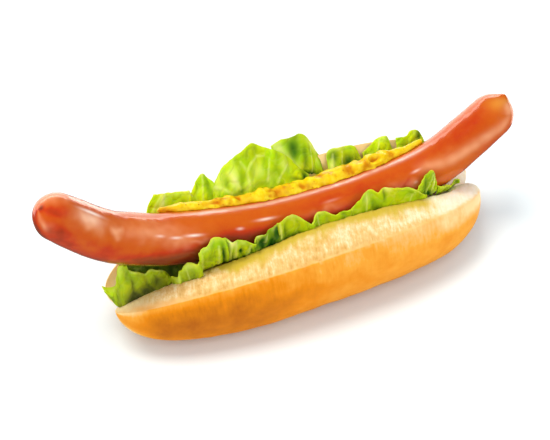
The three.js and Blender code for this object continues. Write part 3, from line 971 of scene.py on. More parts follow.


@dataclass
class Roll:
    """The opened roll: crust, crumb, the slot that the frankfurter presses and the flats that it stands on.

    Each half is worked out shut, as a section that runs up from the hinge, and then swung open.
    """

    frame: Frame
    filling: Frankfurter
    length: float = 160.5
    tip_height: float = 6.5
    dome: float = 25.5
    base: float = 16.5
    crown_power: float = 2.0
    base_power: float = 2.6
    end_width: tuple[float, float] = (3.0, 4.8)
    end_dome: tuple[float, float] = (1.45, 3.15)
    end_base: tuple[float, float] = (4.0, 4.0)
    belly_centre: float = 8.0
    belly_spread: float = 38.0
    belly_fade: float = 8.0
    floor: float = -19.5
    slot_room: float = 1.95
    halves: tuple[Half, ...] = (
        Half(Side.FRONT, 25.0, 54.5, 0.2, 0.29, 0.0, 0.1, 0.0),
        Half(Side.BACK, 26.0, 50.7, 0.0, 0.0, 0.2, 2.2, 0.25),
    )
    stations: int = 300
    knee: float = 0.9  # share of the stations, from the middle, that are evenly spaced
    knee_reach: float = 0.96  # and share of the length that they cover
    crust_steps: int = 64
    face_steps: int = 58
    web_steps: int = 6
    slant: float = 0.36  # how far along the roll its fibres lean for each mm up its face
    streak: float = 0.13  # mm, relief of the fibres
    pit: float = 0.32  # mm, depth of the pores
    heave: float = 0.12  # mm, slower relief of the crumb
    swell: float = 0.45  # mm, relief of the whole
    wrinkle: float = 0.2  # mm, of the crust near its rim
    crease: float = 0.3
    crust_turn: float = 24.0  # mm round the crust for each radian, in its pattern
    rim_reach: float = 9.0  # mm from the rim past which it no longer counts
    oil_band: float = 9.6  # mm above the slot that the oil tint, with its painted leaf shade, has reached
    oil_edge: tuple[float, float] = (3.4, 2.4)  # mm, how ragged its edge is, in clumps and in fibres
    # the crumb's tan along the roll: toast, and painted shade to the left, under the frankfurter's raised
    # end
    tan_by_x: Table = (
        (-79, 0.36), (-62, 0.44), (-45, 0.5), (-10, 0.48), (30, 0.42), (46, 0.28), (60, 0.08), (79, 0.03),
    )
    rim_by_x: Table = ((-80, 0.0), (-40, 0.04), (20, 0.12), (50, 0.26), (70, 0.4))  # a painted sheen: how pale its rim is
    pores: int = 1100
    pore_area: tuple[float, float, float] = (-78, 86, 33)  # from and to along the roll, and up its face
    pore_sizes: tuple[float, float] = (2.0, 0.32)  # shape and scale of how they differ
    seed: int = 11

    def taper(self, x: Array, powers: tuple[float, float]) -> Array:
        """How much of its full size is left at places along it."""
        reach = np.minimum(1, np.abs(2 * x / self.length))
        return np.sqrt(np.maximum(0, 1 - reach ** np.where(x < 0, *powers)))

    def places(self) -> Array:
        """Stations along the roll, closer together at its tips.

        Returns:
            Their places.
        """
        share = np.linspace(-1, 1, self.stations + 1)[1:-1]
        past = np.clip((np.abs(share) - self.knee) / (1 - self.knee), 0, 1)
        inner = np.minimum(np.abs(share), self.knee) * self.knee_reach / self.knee
        return np.sign(share) * (inner + (1 - self.knee_reach) * (1 - (1 - past) ** 2)) * self.length / 2

    def open(self, half: Half, x: float | Array, out: Array, up: Array) -> Array:
        """Swings a half's shut section open about the hinge.

        Args:
            half: which half.
            x: places along the roll.
            out: how far each place lies from the cut.
            up: how far it lies above the hinge.

        Returns:
            The places in space.
        """
        angle = math.radians(half.opened)
        y = half.side.value * (out * math.cos(angle) + up * math.sin(angle))
        return np.stack([np.broadcast_to(x, out.shape), y, up * math.cos(angle) - out * math.sin(angle)], -1)

    def face_depth(self, half: Half, x: Array, up: Array) -> tuple[Array, Array]:
        """Where a half's cut face lies, shut.

        Args:
            half: which half.
            x: places along the roll.
            up: heights on the face.

        Returns:
            Its depth into the half, and how far inside the slot each place is, above 0 where the slot cuts.
        """
        top = self.tip_height + self.dome * self.taper(x, self.end_dome)
        root = np.maximum(0, self.tip_height - self.base * self.taper(x, self.end_base))
        part = np.clip((up - root) / np.maximum(top - root, SHORTEST), 0, 1)
        fade = np.where(x < 0, 1 - np.abs(2 * x / self.length) ** self.belly_fade, 1)
        middle = bell(x, self.belly_centre, self.belly_spread)
        fullness = half.belly_ends + (half.belly_middle - half.belly_ends) * middle
        belly = -fullness * np.maximum(0, fade) * (top - root) * 4 * part * (1 - part)
        angle = math.radians(half.opened)
        line, share = self.filling.centre, np.linspace(0, 1, 200)
        level = np.interp(x, line.at(share)[:, 0], np.abs(line.direction(share)[:, 0]))
        _, y, z = np.moveaxis(line.at_x(x), -1, 0)
        centre_up = half.side.value * y * math.sin(angle) + z * math.cos(angle)
        centre_out = half.side.value * y * math.cos(angle) - z * math.sin(angle)
        radius = (read(self.filling.radii, x) + self.slot_room) / np.maximum(level, 0.5)
        inside = radius**2 - (up - centre_up) ** 2
        slot = np.where(inside > 0, centre_out + np.sqrt(np.maximum(inside, 0)), -np.inf)
        return np.maximum(belly, slot), slot - belly

    def pits(self, grain: Array, x: Array, up: Array, seed: int) -> Array:
        """Pores torn open on a cut face, drawn out along its fibres.

        Args:
            grain: which fibre each place of the grid lies on.
            x: the grid's places along the roll.
            up: the grid's heights.
            seed: picks the pores.

        Returns:
            How deep the face is pitted at each place.
        """
        draw = np.random.default_rng(seed)
        low, high, tall = self.pore_area
        grains, heights = draw.uniform(low, high, self.pores), draw.uniform(0, tall, self.pores)
        sizes = draw.gamma(*self.pore_sizes, self.pores)
        depth = np.zeros(up.shape)
        for spot_grain, spot_up, size in zip(grains, heights, sizes):
            width, height = 0.35 + 0.3 * size, 0.9 + 2.4 * size
            beside = np.abs(x[:, 0] + self.slant * spot_up - spot_grain)
            rows = np.flatnonzero(beside < 2.5 * width + 2 * self.slant * height)
            if len(rows):
                part = slice(rows[0], rows[-1] + 1)
                pit = bell(grain[part], spot_grain, width) * bell(up[part], spot_up, height)
                depth[part] = np.maximum(depth[part], pit * min(1, 0.45 + 0.5 * size))
        return depth

    def browning_and_painted_light(self, x: Array, round_off: Array) -> Array:
        """How brown the crust is: its baked colour, with painted shade on its lower left and at the right of
        its underside, and a painted sheen on its rim and right end.

        Args:
            x: places along the roll.
            round_off: degrees round the crust from its rim.

        Returns:
            The brown at each place, with its painted shade and sheen.
        """
        # a painted sheen pales the crust near its rim
        rim = read(self.rim_by_x, x) * ease(30, 8, round_off)
        rim = rim + (0.06 + 0.2 * ease(-10, -60, x)) * ease(13, 0, round_off)
        # beneath: paler at the left, and painted shade at the right
        beneath = ease(52, 74, round_off) * (0.1 - 0.16 * ease(-30, 20, x))
        # paler towards the right and at both tips; painted shade darkens the lower left
        paler = rim + beneath + 0.17 * ease(-60, 75, x) + 0.44 * ease(-63, -80, x) + 0.12 * ease(70, 79, x)
        return 0.6 - paler + (0.07 + 0.28 * bell(round_off, 36, 26)) * ease(15, -45, x)

    def half_mesh(self, half: Half) -> Thing:
        """Builds one half as a closed mesh with its marks.

        Args:
            half: which half.

        Returns:
            The half's object.
        """
        x = self.places()[:, None]
        width = half.width * self.taper(x, self.end_width)
        dome = self.dome * self.taper(x, self.end_dome)
        base = self.base * self.taper(x, self.end_base)
        angle = np.pi * (np.arange(self.crust_steps + 1) / self.crust_steps - 0.5)[None]
        above = angle >= 0
        power = 2 / np.where(above, self.crown_power, self.base_power)
        out = width * np.cos(angle).clip(0) ** power
        up = self.tip_height + np.where(above, dome, -base) * np.abs(np.sin(angle)) ** power
        top, bottom = self.tip_height + dome, self.tip_height - base
        root = np.maximum(0, bottom)
        face_up = top + (root - top) * (np.arange(1, self.face_steps)[None] / self.face_steps)
        wide_x = np.broadcast_to(x, face_up.shape)
        face_out, slot = self.face_depth(half, wide_x, face_up)
        grain = wide_x + self.slant * face_up
        flat = np.stack([grain, face_up, np.zeros(face_up.shape)], -1)
        torn = ease(-76, -58, wide_x) * (1 - 0.75 * ease(48, 64, wide_x))
        loose = 0.25 + 0.75 * torn
        streaks = noise(flat, (1.6, 12.0, 1.0), self.seed)
        streaks = streaks + 0.6 * noise(flat, (1.0, 5.0, 1.0), self.seed + 1)
        pitted = self.pits(grain, wide_x, face_up, self.seed + half.side.value) * loose
        relief = self.streak * streaks * torn + self.pit * pitted + self.heave * noise(flat, 4.0, 5)
        face_out = face_out + ease(0.0, 2.0, np.minimum(top - face_up, face_up - root + 2.0)) * relief
        web_up = root + (bottom - root) * np.linspace(0, 1, self.web_steps + 2)[None, 1:-1]
        section_out = np.concatenate([out, face_out, np.zeros(web_up.shape)], 1)
        section_up = np.concatenate([up, face_up, web_up], 1)
        points = self.open(half, x, section_out, section_up)
        shell, inner = slice(0, out.shape[1]), slice(out.shape[1], out.shape[1] + face_out.shape[1])
        slope = np.stack([out / np.maximum(width, 0.1), (up - self.tip_height) / 20], -1)
        away = self.open(half, 0.0, *np.moveaxis(unit(slope), -1, 0))
        round_off = 90 - np.degrees(angle) * np.ones(x.shape)  # degrees round the crust from its rim
        swell = self.swell * rough_noise(points, 26.0, 21) + 0.06 * rough_noise(points, 3.5, 31)
        wrinkle = self.wrinkle * noise(points, (1.9, 9.0, 9.0), 41)
        lift = swell[:, shell] + wrinkle[:, shell] * ease(40, 10, round_off) * ease(0, 5, round_off)
        lift = lift * (1 - ease(0.93, 1.0, np.abs(np.sin(angle)))) * self.taper(x, self.end_width)
        points[:, shell] += away * lift[..., None]
        points[..., 2] = np.maximum(points[..., 2], self.floor)
        names = "crumb", "brown", "oil_and_leaf_shade", "tan", "creased", "grain", "rise", "torn"
        marks = {name: np.zeros(section_up.shape) for name in names}
        reach = np.full(section_up.shape, -self.rim_reach)
        reach[:, inner] = np.minimum(top - face_up, self.rim_reach)
        reach[:, shell] = np.where(np.sin(angle) > 0, -3.0 * (top - up + out * 0.4), -self.rim_reach)
        ragged = reach + 0.8 * noise(points, 3.0, 51) + 0.5 * noise(points, 1.4, 52)
        marks["crumb"] = ease(half.lap, 1.6 * half.lap + 1.4 + 5 * ease(-48, -72, x), ragged)
        marks["crumb"][:, inner.stop :] = 0
        marks["brown"][:] = np.minimum(0.16 - 0.7 * half.pale_tip, self.browning_and_painted_light(x, np.zeros(x.shape)))
        tip = half.pale_tip * (ease(-48, -80, x) + bell(round_off, 36, 26) * ease(15, -45, x))
        marks["brown"][:, shell] = self.browning_and_painted_light(x, round_off) - tip
        marks["tan"][:, shell] = 0.45  # where torn crumb shows past the rim
        marks["creased"][:, shell] = self.crease * ease(40, 6, round_off)
        marks["torn"][:, inner] = loose
        marks["grain"][:] = x + self.slant * top
        marks["grain"][:, inner] = grain
        marks["rise"][:] = top
        marks["rise"][:, shell] = top + np.radians(round_off) * self.crust_turn
        marks["rise"][:, inner] = face_up
        clumps = noise(flat, (7.0, 6.0, 1.0), 61)
        by_clumps, by_fibres = self.oil_edge
        # the oil tint above the slot, with painted shade and a painted green reflection from the leaves
        band = self.oil_band + by_clumps * clumps + by_fibres * noise(flat, (1.7, 9.0, 1.0), 62)
        cut_up = np.where(slot > 0, face_up, -np.inf).max(1, keepdims=True)
        wet = 1 - ease(0.45, 1.15, (face_up - cut_up) / np.maximum(band, 0.8))
        wet = wet * ease(-80, -68, wide_x) * ease(58, 50, wide_x)
        # tan, with painted shade in the pores
        tan = read(self.tan_by_x, wide_x) + 0.22 * pitted + 0.1 * clumps * torn
        marks["oil_and_leaf_shade"][:, inner] = 0.95 * (1 - half.clean) * wet
        marks["tan"][:, inner] = (tan + 0.25 * ease(4.0, 0.0, top - face_up) * torn) * (1 - half.clean)
        return self.frame.tube(f"roll_{half.side.name.lower()}", points, marks, half.side is Side.FRONT)

    def build(self) -> Thing:
        """Joins both halves at the hinge.

        Returns:
            The roll's object.
        """
        front, back = (self.half_mesh(half) for half in self.halves)
        join = front.modifiers.new("join", "BOOLEAN")
        join.operation = "UNION"
        join.solver = "MANIFOLD"
        join.object = back
        depsgraph = bpy.context.evaluated_depsgraph_get()
        mesh = bpy.data.meshes.new_from_object(front.evaluated_get(depsgraph))
        mesh.name = "wheat_roll"
        roll = bpy.data.objects.new("wheat_roll", mesh)
        bpy.context.scene.collection.objects.link(roll)
        for half in (front, back):
            bpy.data.objects.remove(half)
        mesh.polygons.foreach_set("use_smooth", [True] * len(mesh.polygons))
        mesh.materials.clear()
        mesh.materials.append(BakedRoll().material())
        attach(roll, "root")
        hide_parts("bun")
        return roll


# ---- The mustard ----


@dataclass
class Mustard:
    """The bead of mustard in the crease behind the frankfurter: lumps, a curl near its end and a thin smear.

    Its radii run lump by lump along the roll. Its curl and its folds, which painted shade makes orange,
    are given by place, turn, half length and half turn, and a fold by its strength too.
    """

    frame: Frame
    filling: Frankfurter
    behind: Point = (0, 8.7, 7.7)  # from the middle of the frankfurter
    sag: float = 1.0  # mm, how much lower its thin end lies
    radii: Table = (
        (-53, 0.0), (-51.5, 1.4), (-48, 2.1), (-40, 2.5), (-33, 2.6), (-29, 2.8), (-26.5, 3.3), (-22, 3.3),
        (-18.5, 2.8), (-14, 2.9), (-10, 3.7), (-5.5, 4.0), (-3, 3.0), (-0.5, 3.7), (4, 3.9), (8.5, 3.4),
        (11, 3.3), (15, 3.9), (20, 4.0), (24, 3.4), (28, 4.0), (32, 3.9), (35, 3.3), (39, 4.0), (44, 3.8),
        (47.5, 2.7), (52, 2.1), (57, 1.9), (60, 1.5), (61.6, 1.0), (62, 0.0),
    )
    curl: tuple[float, float, float, float] = (40.4, 108.0, 4.0, 26.0)
    # folds, pressed in and painted orange as shade
    hollows: Patches = (
        (-49.5, 130, 4, 60, 0.7), (-27.5, 95, 2.2, 40, 0.8), (-19, 120, 1.6, 34, 0.5),
        (-3, 110, 2.4, 50, 0.95), (0.6, 100, 1.5, 30, 0.8), (10, 130, 1.4, 34, 0.6), (17, 90, 1.6, 34, 0.6),
        (28.5, 110, 2.3, 55, 0.95), (36.4, 120, 1.6, 44, 0.8), (40.4, 108, 1.9, 13, 1.0),
        (48, 110, 2, 44, 0.6),
    )
    full: float = 3.5  # radius at which its lumps have their full relief
    gap: float = 0.1  # mm from the frankfurter's skin
    stations: int = 460
    sides: int = 48

    def build(self) -> Thing:
        """Builds the bead.

        Returns:
            The bead's object.
        """
        low, high = self.radii[0][0], self.radii[-1][0]
        share = np.arange(1, self.stations)[:, None] / self.stations
        x = low + (high - low) * (0.5 - 0.5 * np.cos(np.pi * share))
        radius = read(self.radii, x)
        centre = self.filling.centre.at_x(x) + np.array(self.behind)
        centre[..., 2] -= self.sag * ease(46, 54, x)
        angle = 2 * np.pi * np.arange(self.sides)[None] / self.sides
        turn = np.degrees(angle)
        ring = np.stack([np.zeros(angle.shape), np.cos(angle), np.sin(angle)], -1)
        points = centre + ring * radius[..., None]
        folds = 0.9 * noise(points, (3.6, 4.5, 4.5), 71) + 0.36 * noise(points, 2.0, 72)
        seeds = 0.2 * np.maximum(0, noise(points, 1.1, 73)) + 0.05 * noise(points, 0.7, 74)
        at, at_turn, long, wide = self.curl
        away = np.hypot((x - at) / long, (turn - at_turn) / wide)
        loop = 0.9 * bell(away, 0.95, 0.33) - 1.1 * bell(away, 0, 0.45)
        folded = patches(x + 0.9 * noise(points, 2.4, 75), turn + 14 * noise(points, 2.0, 76), self.hollows)
        relief = (folds + seeds) * np.clip(radius / self.full, 0.15, 1) + loop - 0.5 * folded
        points = self.filling.push_out(points + ring * relief[..., None], self.gap)
        # painted shade: in the folds, between the lumps and on the underside
        between = 0.3 * ease(3.3, 2.8, radius) * ease(-30, -26, x) * ease(50, 46, x)
        under = 0.7 * ease(0.2, -0.6, np.sin(angle)) + 0.4 * ease(-44, -53, x)
        hollow = np.clip(0.9 * ease(0.0, -0.8, relief) + between + under, 0, 1)
        bead = self.frame.tube("mustard_bead", points, {"low": np.maximum(hollow, folded)})
        bead.data.materials.append(GrainyMustard().material())
        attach(bead, "root")
        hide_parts("mustard")
        return bead


# ---- The lettuce ----

BACK_ROOT = (14.6, 13.6)  # y and z where the back leaves start, behind the frankfurter


def back_root(low: float, high: float) -> tuple[Point, ...]:
    """The root line of a leaf at the back, from one place along the roll to another."""
    return tuple((x, *BACK_ROOT) for x in (low, (low + high) / 2, high))


@dataclass(frozen=True)
class Leaf:
    """One leaf: a sheet from its root line to its free edge, with its ribs, blotches and ruffles.

    Ribs, pale blotches, partly painted sheen, and dark hollows of painted shade lie at shares of the sheet:
    along it, then up it from root to edge.
    """

    name: str
    root: tuple[Point, ...]
    edge: tuple[Point, ...]
    belly: float  # mm, how far it bows out
    ruffle: float  # mm, height of its waves
    wave: float  # mm, length of one wave
    layer: float = 0.0  # mm, how far in front of its lines it lies
    spread: float = 0.0  # mm, how much wider than its free edge it is below
    frill: float = 0.5  # mm, how far its rim crinkles
    depth: float = 0.0  # how dark a green it is, partly painted shade
    dull: float = 0.0  # how olive its painted shade is
    ribs: Patches = ()  # start, end and width in mm
    # pale blotches, partly painted sheen, and dark hollows, painted shade
    pale: Patches = ()
    dark: Patches = ()


# Each leaf: its name, its root line and its free edge, then belly, ruffle and wave.
LEAVES: tuple[Leaf, ...] = (
    Leaf(
        "lettuce_back_flat", back_root(-61, -38), ((-50.5, 27, 26.6), (-43.5, 26.3, 25.3), (-36, 25.4, 24)),
        0.6, 0.5, 13, spread=1.4, ribs=((0.1, 0.5, 0.24, 1.0, 0.5), (0.34, 0.5, 0.3, 1.0, 0.7)),
        pale=((0.3, 0.8, 0.09, 0.3, 0.75), (0.97, 0.85, 0.03, 0.25, 0.7), (0.6, 0.95, 0.3, 0.05, 0.3)),
        dark=((0.72, 0.8, 0.14, 0.2, 0.22),),
    ),
    Leaf(
        "lettuce_back_point", back_root(-38, -28),
        ((-35.2, 24.8, 22.8), (-31.8, 27, 26.6), (-28.5, 27.9, 28.2), (-26.6, 26.4, 25.6),
        (-25.4, 25.4, 24)), 1.0, 0.6, 9, spread=1.4, ribs=((0.45, 0.4, 0.6, 1.0, 0.35),),
        pale=((0.9, 0.75, 0.08, 0.12, 0.4),),
        dark=((0.7, 0.62, 0.08, 0.35, 0.35), (0.3, 0.7, 0.12, 0.3, 0.15)),
    ),
    Leaf(
        "lettuce_back_large", back_root(-28, 12),
        ((-24.8, 25.4, 23.8), (-21, 27.4, 27.3), (-16, 28.7, 29.9), (-11.5, 29.7, 31.9), (-6.5, 30.4, 33.9),
        (-2, 29.4, 31), (2.5, 28, 28.2), (8, 25.4, 24), (13, 20, 18)), 1.6, 0.9, 15, spread=1.4,
        ribs=((0.02, 0.84, 0.2, 0.4, 0.7), (0.2, 0.8, 0.29, 0.4, 0.8), (0.38, 0.42, 0.37, 0.63, 0.5),
        (0.37, 0.63, 0.32, 0.84, 0.4), (0.37, 0.63, 0.48, 0.8, 0.5), (0.48, 0.8, 0.56, 0.84, 0.35),
        (0.56, 0.4, 0.6, 0.8, 0.35), (0.66, 0.35, 0.76, 0.75, 0.4)),
        pale=((0.1, 0.8, 0.06, 0.2, 0.5), (0.24, 0.62, 0.035, 0.22, 0.75), (0.48, 0.57, 0.05, 0.12, 0.5),
        (0.38, 0.4, 0.06, 0.1, 0.35), (0.74, 0.7, 0.04, 0.12, 0.45), (0.58, 0.45, 0.04, 0.12, 0.3)),
        dark=((0.17, 0.62, 0.03, 0.14, 0.45), (0.31, 0.6, 0.03, 0.25, 0.35), (0.42, 0.56, 0.03, 0.14, 0.35),
        (0.5, 0.36, 0.12, 0.06, 0.35), (0.66, 0.6, 0.05, 0.16, 0.25), (0.86, 0.42, 0.1, 0.07, 0.5),
        (0.3, 0.36, 0.06, 0.05, 0.6), (0.95, 0.55, 0.05, 0.35, 0.9), (0.42, 0.86, 0.14, 0.16, 0.3)),
    ),
    Leaf(
        "lettuce_back_dark", back_root(4, 23.5),
        ((2, 28.8, 30), (7, 29.2, 30.6), (11, 29, 30.4), (15.4, 29.2, 30.9), (18.5, 28, 28.4),
        (20.6, 25, 23.4), (22.6, 22.6, 19.8)), 0.8, 0.8, 11, -2.4, depth=0.12,
        ribs=((0.06, 0.96, 0.34, 0.4, 1.3), (0.6, 0.3, 0.66, 0.9, 0.22)),
        pale=((0.1, 0.88, 0.07, 0.1, 0.7), (0.7, 0.94, 0.1, 0.12, 0.75), (0.78, 0.6, 0.06, 0.12, 0.3)),
        dark=((0.33, 0.8, 0.1, 0.22, 0.75), (0.5, 0.55, 0.07, 0.22, 0.45), (0.93, 0.5, 0.06, 0.45, 0.95),
        (0.5, 0.24, 0.22, 0.09, 0.95), (0.62, 0.75, 0.04, 0.14, 0.3)),
    ),
    Leaf(
        "lettuce_back_low", back_root(21.5, 38),
        ((24, 22.6, 19.8), (25.8, 24, 21.7), (31, 23.8, 21.5), (35.9, 23.3, 20.7), (37.4, 21.6, 18.7)),
        0.7, 0.6, 9, depth=0.15, ribs=((0.12, 0.25, 0.25, 0.8, 0.8), (0.4, 0.3, 0.5, 0.9, 0.22)),
        pale=((0.12, 0.45, 0.08, 0.2, 0.6), (0.35, 0.96, 0.25, 0.06, 0.6)),
        dark=((0.62, 0.45, 0.18, 0.24, 0.75), (0.26, 0.7, 0.12, 0.2, 0.45), (0.85, 0.25, 0.1, 0.2, 0.5)),
    ),
    Leaf(
        "lettuce_back_fold", back_root(38, 52),
        ((39.4, 20.6, 17.4), (43, 21.6, 18.7), (47, 22.9, 20.2), (51, 22.8, 20.1), (51.8, 20.5, 17.4)),
        0.8, 0.6, 8, ribs=((0.4, 0.4, 0.62, 1.0, 0.3),), pale=((0.7, 0.9, 0.1, 0.1, 0.3),),
        dark=((0.08, 0.5, 0.05, 0.4, 0.6), (0.5, 0.45, 0.06, 0.2, 0.25)),
    ),
    Leaf(
        "lettuce_back_knob", back_root(52.5, 66),
        ((55, 21.4, 18.5), (60, 21.2, 18), (62.4, 22.1, 19.3), (65.4, 21.5, 18.4), (66.6, 19, 15.8)),
        0.6, 0.5, 7, pale=((0.62, 0.9, 0.06, 0.14, 0.3),), dark=((0.78, 0.7, 0.14, 0.4, 0.5),),
    ),
    Leaf(
        "lettuce_front_left", ((-82, 1.8, 9.9), (-79.9, 0, 5.2), (-77.4, -3, 2.5), (-68.7, -2.2, 2.4),
        (-60, -0.8, 2.4), (-54, -0.9, 4.5)),
        ((-82.4, 2.3, 11.9), (-79.4, 2.6, 10.3), (-77, 2.8, 10.8), (-76, 3, 15.5), (-74.9, 3, 21.2),
        (-72, 3, 20.4), (-71, 3, 16.3), (-67.8, 3, 14), (-64.3, 3, 10.6), (-62.8, 3, 12.1),
        (-59.9, 3, 11.2), (-56.7, 3, 8.9), (-55, 2.4, 6.2)), 0.5, 0.5, 10, frill=0.6, dull=0.7,
        pale=((0.36, 0.92, 0.04, 0.14, 0.3), (0.12, 0.7, 0.08, 0.2, 0.2), (0.62, 0.97, 0.16, 0.05, 0.45),
        (0.82, 0.97, 0.12, 0.05, 0.5)),
        dark=((0.5, 0.1, 0.14, 0.4, 0.9), (0.66, 0.26, 0.13, 0.3, 0.85), (0.82, 0.4, 0.1, 0.3, 0.75),
        (0.3, 0.4, 0.12, 0.3, 0.3), (0.16, 0.12, 0.08, 0.12, 0.3), (0.5, 0.6, 0.12, 0.3, 0.4)),
    ),
    Leaf(
        "lettuce_front_lobe", ((-56, -1, 4.5), (-50.5, -3.4, 3.6), (-46.4, -4.6, 5), (-44.2, -5.4, 10)),
        ((-55.4, -3, 11), (-53.4, -4.6, 14.6), (-50.6, -5.6, 17.8), (-47.6, -6, 19), (-44.6, -6.5, 19)),
        3.8, 0.9, 8, frill=0.9, dull=0.3, ribs=((0.5, 0.2, 0.6, 0.9, 0.4),),
        pale=((0.25, 0.9, 0.1, 0.1, 0.5), (0.7, 0.95, 0.2, 0.07, 0.4), (0.1, 0.4, 0.06, 0.2, 0.5)),
        dark=((0.62, 0.5, 0.34, 0.45, 0.5), (0.06, 0.7, 0.04, 0.2, 0.5)),
    ),
    Leaf(
        "lettuce_front_curl", ((-44, -1.4, 6), (-38, -3, 8.6), (-32, -4.6, 10.8)),
        ((-44.6, -6, 23), (-42.3, -5, 25.2), (-39.5, -4.3, 25.9), (-36.1, -3.4, 26.3), (-32.6, -3.8, 25.4)),
        2.6, 0.8, 7, frill=0.8, ribs=((0.66, 0.15, 0.74, 0.8, 0.5),),
        pale=((0.12, 0.6, 0.05, 0.4, 0.45), (0.5, 0.15, 0.12, 0.1, 0.4), (0.4, 0.95, 0.3, 0.06, 0.4)),
        dark=((0.4, 0.6, 0.15, 0.2, 0.35), (0.86, 0.45, 0.07, 0.4, 1.0), (0.56, 0.5, 0.04, 0.25, 0.3)),
    ),
    Leaf(
        "lettuce_front_pale", ((-33, -4.4, 10.8), (-26, -6, 11.8), (-20.5, -6.5, 12)),
        ((-32.6, -4.1, 25), (-28.3, -5.4, 22.9), (-24.7, -6.1, 21.3), (-20.9, -6.9, 19.8)), 0.8, 0.8, 8,
        ribs=((0.12, 0.1, 0.16, 0.95, 0.7), (0.3, 0.15, 0.34, 0.95, 0.6), (0.7, 0.2, 0.85, 0.9, 0.5)),
        pale=((0.22, 0.9, 0.16, 0.16, 0.95), (0.6, 0.9, 0.15, 0.1, 0.45)),
        dark=((0.5, 0.45, 0.09, 0.16, 1.0), (0.03, 0.3, 0.05, 0.25, 0.9), (0.22, 0.4, 0.03, 0.2, 0.5),
        (0.85, 0.45, 0.06, 0.2, 0.7), (0.97, 0.6, 0.06, 0.3, 0.6)),
    ),
    Leaf(
        "lettuce_front_dark", ((-21.5, -6.5, 12), (-15, -6.9, 11.8), (-9.5, -7.1, 11.3)),
        ((-21, -6.7, 19.9), (-17.9, -5.6, 21.4), (-14.9, -5.3, 21.3), (-9.6, -3.4, 22.6)),
        0.8, 0.9, 6, depth=0.45, ribs=((0.4, 0.6, 0.5, 0.95, 0.4),),
        pale=((0.2, 0.95, 0.12, 0.1, 0.45), (0.06, 0.3, 0.08, 0.15, 0.4), (0.8, 0.92, 0.1, 0.1, 0.3)),
        dark=((0.3, 0.55, 0.12, 0.2, 1.0), (0.62, 0.35, 0.16, 0.25, 1.0), (0.88, 0.7, 0.09, 0.3, 0.8)),
    ),
    Leaf(
        "lettuce_front_wave", ((-10, -7, 10), (5, -7.3, 8.6), (22, -7.7, 8.4)),
        ((-10.2, -3.4, 22.6), (-6.5, -2.4, 22.9), (-2.3, -2.6, 22.4), (0.7, -3.9, 21), (3.6, -5.6, 19.1),
        (8.1, -4.1, 20.5), (11.1, -4.2, 20.4), (15, -5.8, 18.9), (22.2, -6.6, 18.4)),
        0.8, 1.0, 11, depth=0.06, ribs=((0.02, 0.2, 0.03, 0.95, 0.4), (0.55, 0.5, 0.56, 0.95, 0.25)),
        pale=((0.03, 0.55, 0.02, 0.4, 0.5), (0.2, 0.97, 0.12, 0.06, 0.35), (0.58, 0.97, 0.1, 0.06, 0.35)),
        dark=((0.2, 0.26, 0.13, 0.18, 0.95), (0.36, 0.3, 0.1, 0.16, 0.8), (0.52, 0.2, 0.1, 0.14, 0.5),
        (0.09, 0.5, 0.02, 0.3, 0.35), (0.75, 0.1, 0.2, 0.1, 0.5)),
    ),
    Leaf(
        "lettuce_front_smooth", ((21, -7.7, 8.4), (36, -7.8, 9.4), (53.5, -8.6, 11.2)),
        ((21.8, -6.4, 18.4), (26.9, -3.6, 21.2), (29.5, -2.6, 22), (32.3, -2.9, 22.1), (34, -4.4, 21.4),
        (37.6, -3.6, 22.4), (40.2, -4.5, 22), (43.9, -6, 21.1), (49, -7.4, 20.2), (52, -8.4, 17.4),
        (54.5, -9, 15)), 0.9, 0.9, 12, ribs=((0.2, 0.3, 0.24, 0.95, 0.35), (0.75, 0.3, 0.8, 0.9, 0.25)),
        pale=((0.23, 0.85, 0.05, 0.16, 0.5), (0.5, 0.95, 0.04, 0.09, 0.95), (0.8, 0.97, 0.12, 0.05, 0.3)),
        dark=((0.36, 0.4, 0.06, 0.22, 0.6), (0.58, 0.08, 0.25, 0.1, 0.7), (0.15, 0.1, 0.12, 0.12, 0.5),
        (0.46, 0.75, 0.02, 0.2, 0.5), (0.93, 0.45, 0.04, 0.2, 0.4)),
    ),
    Leaf(
        "lettuce_front_spike", ((49, -7.8, 12), (54, -7.6, 12.4), (59, -7.2, 12.4)),
        ((50, -7.5, 19.2), (53.2, -6.5, 21.6), (55.6, -5.8, 24), (57.2, -5.2, 25.7), (58.2, -5.7, 25),
        (58.8, -6.8, 21.6), (59.2, -7.6, 17.5)), 0.7, 0.6, 8, depth=0.1,
        ribs=((0.78, 0.15, 0.66, 1.0, 0.5), (0.5, 0.2, 0.6, 0.9, 0.25)),
        pale=((0.7, 0.75, 0.04, 0.25, 0.5), (0.85, 0.3, 0.06, 0.15, 0.4)),
        dark=((0.4, 0.5, 0.14, 0.3, 0.5), (0.6, 0.15, 0.2, 0.12, 0.5), (0.95, 0.2, 0.06, 0.2, 0.8)),
    ),
    Leaf(
        "lettuce_front_end", ((59.4, -6.9, 10.6), (66, -4.8, 8.2), (73, -2.4, 7.4)),
        ((59.6, -8.1, 17.4), (63.5, -7.6, 15.4), (68, -5.2, 12.2), (72.6, -2.9, 10.6)), 0.3, 0.3, 6,
        pale=((0.3, 0.8, 0.15, 0.2, 0.3),),
        dark=((0.06, 0.2, 0.06, 0.25, 0.3), (0.88, 0.6, 0.08, 0.4, 0.5)),
    ),
    # a leaf under the frankfurter's raised end, dark with painted shade
    Leaf(
        "lettuce_under", ((-72, 2.4, 5), (-62, 1.6, 4), (-46, 1.6, 3.4)),
        ((-71.5, 9.5, 14), (-66, 10.5, 14), (-58, 10.5, 12.3), (-46, 7.8, 8)),
        0.3, 0.5, 9, depth=0.75, dull=0.3,
    ),
)


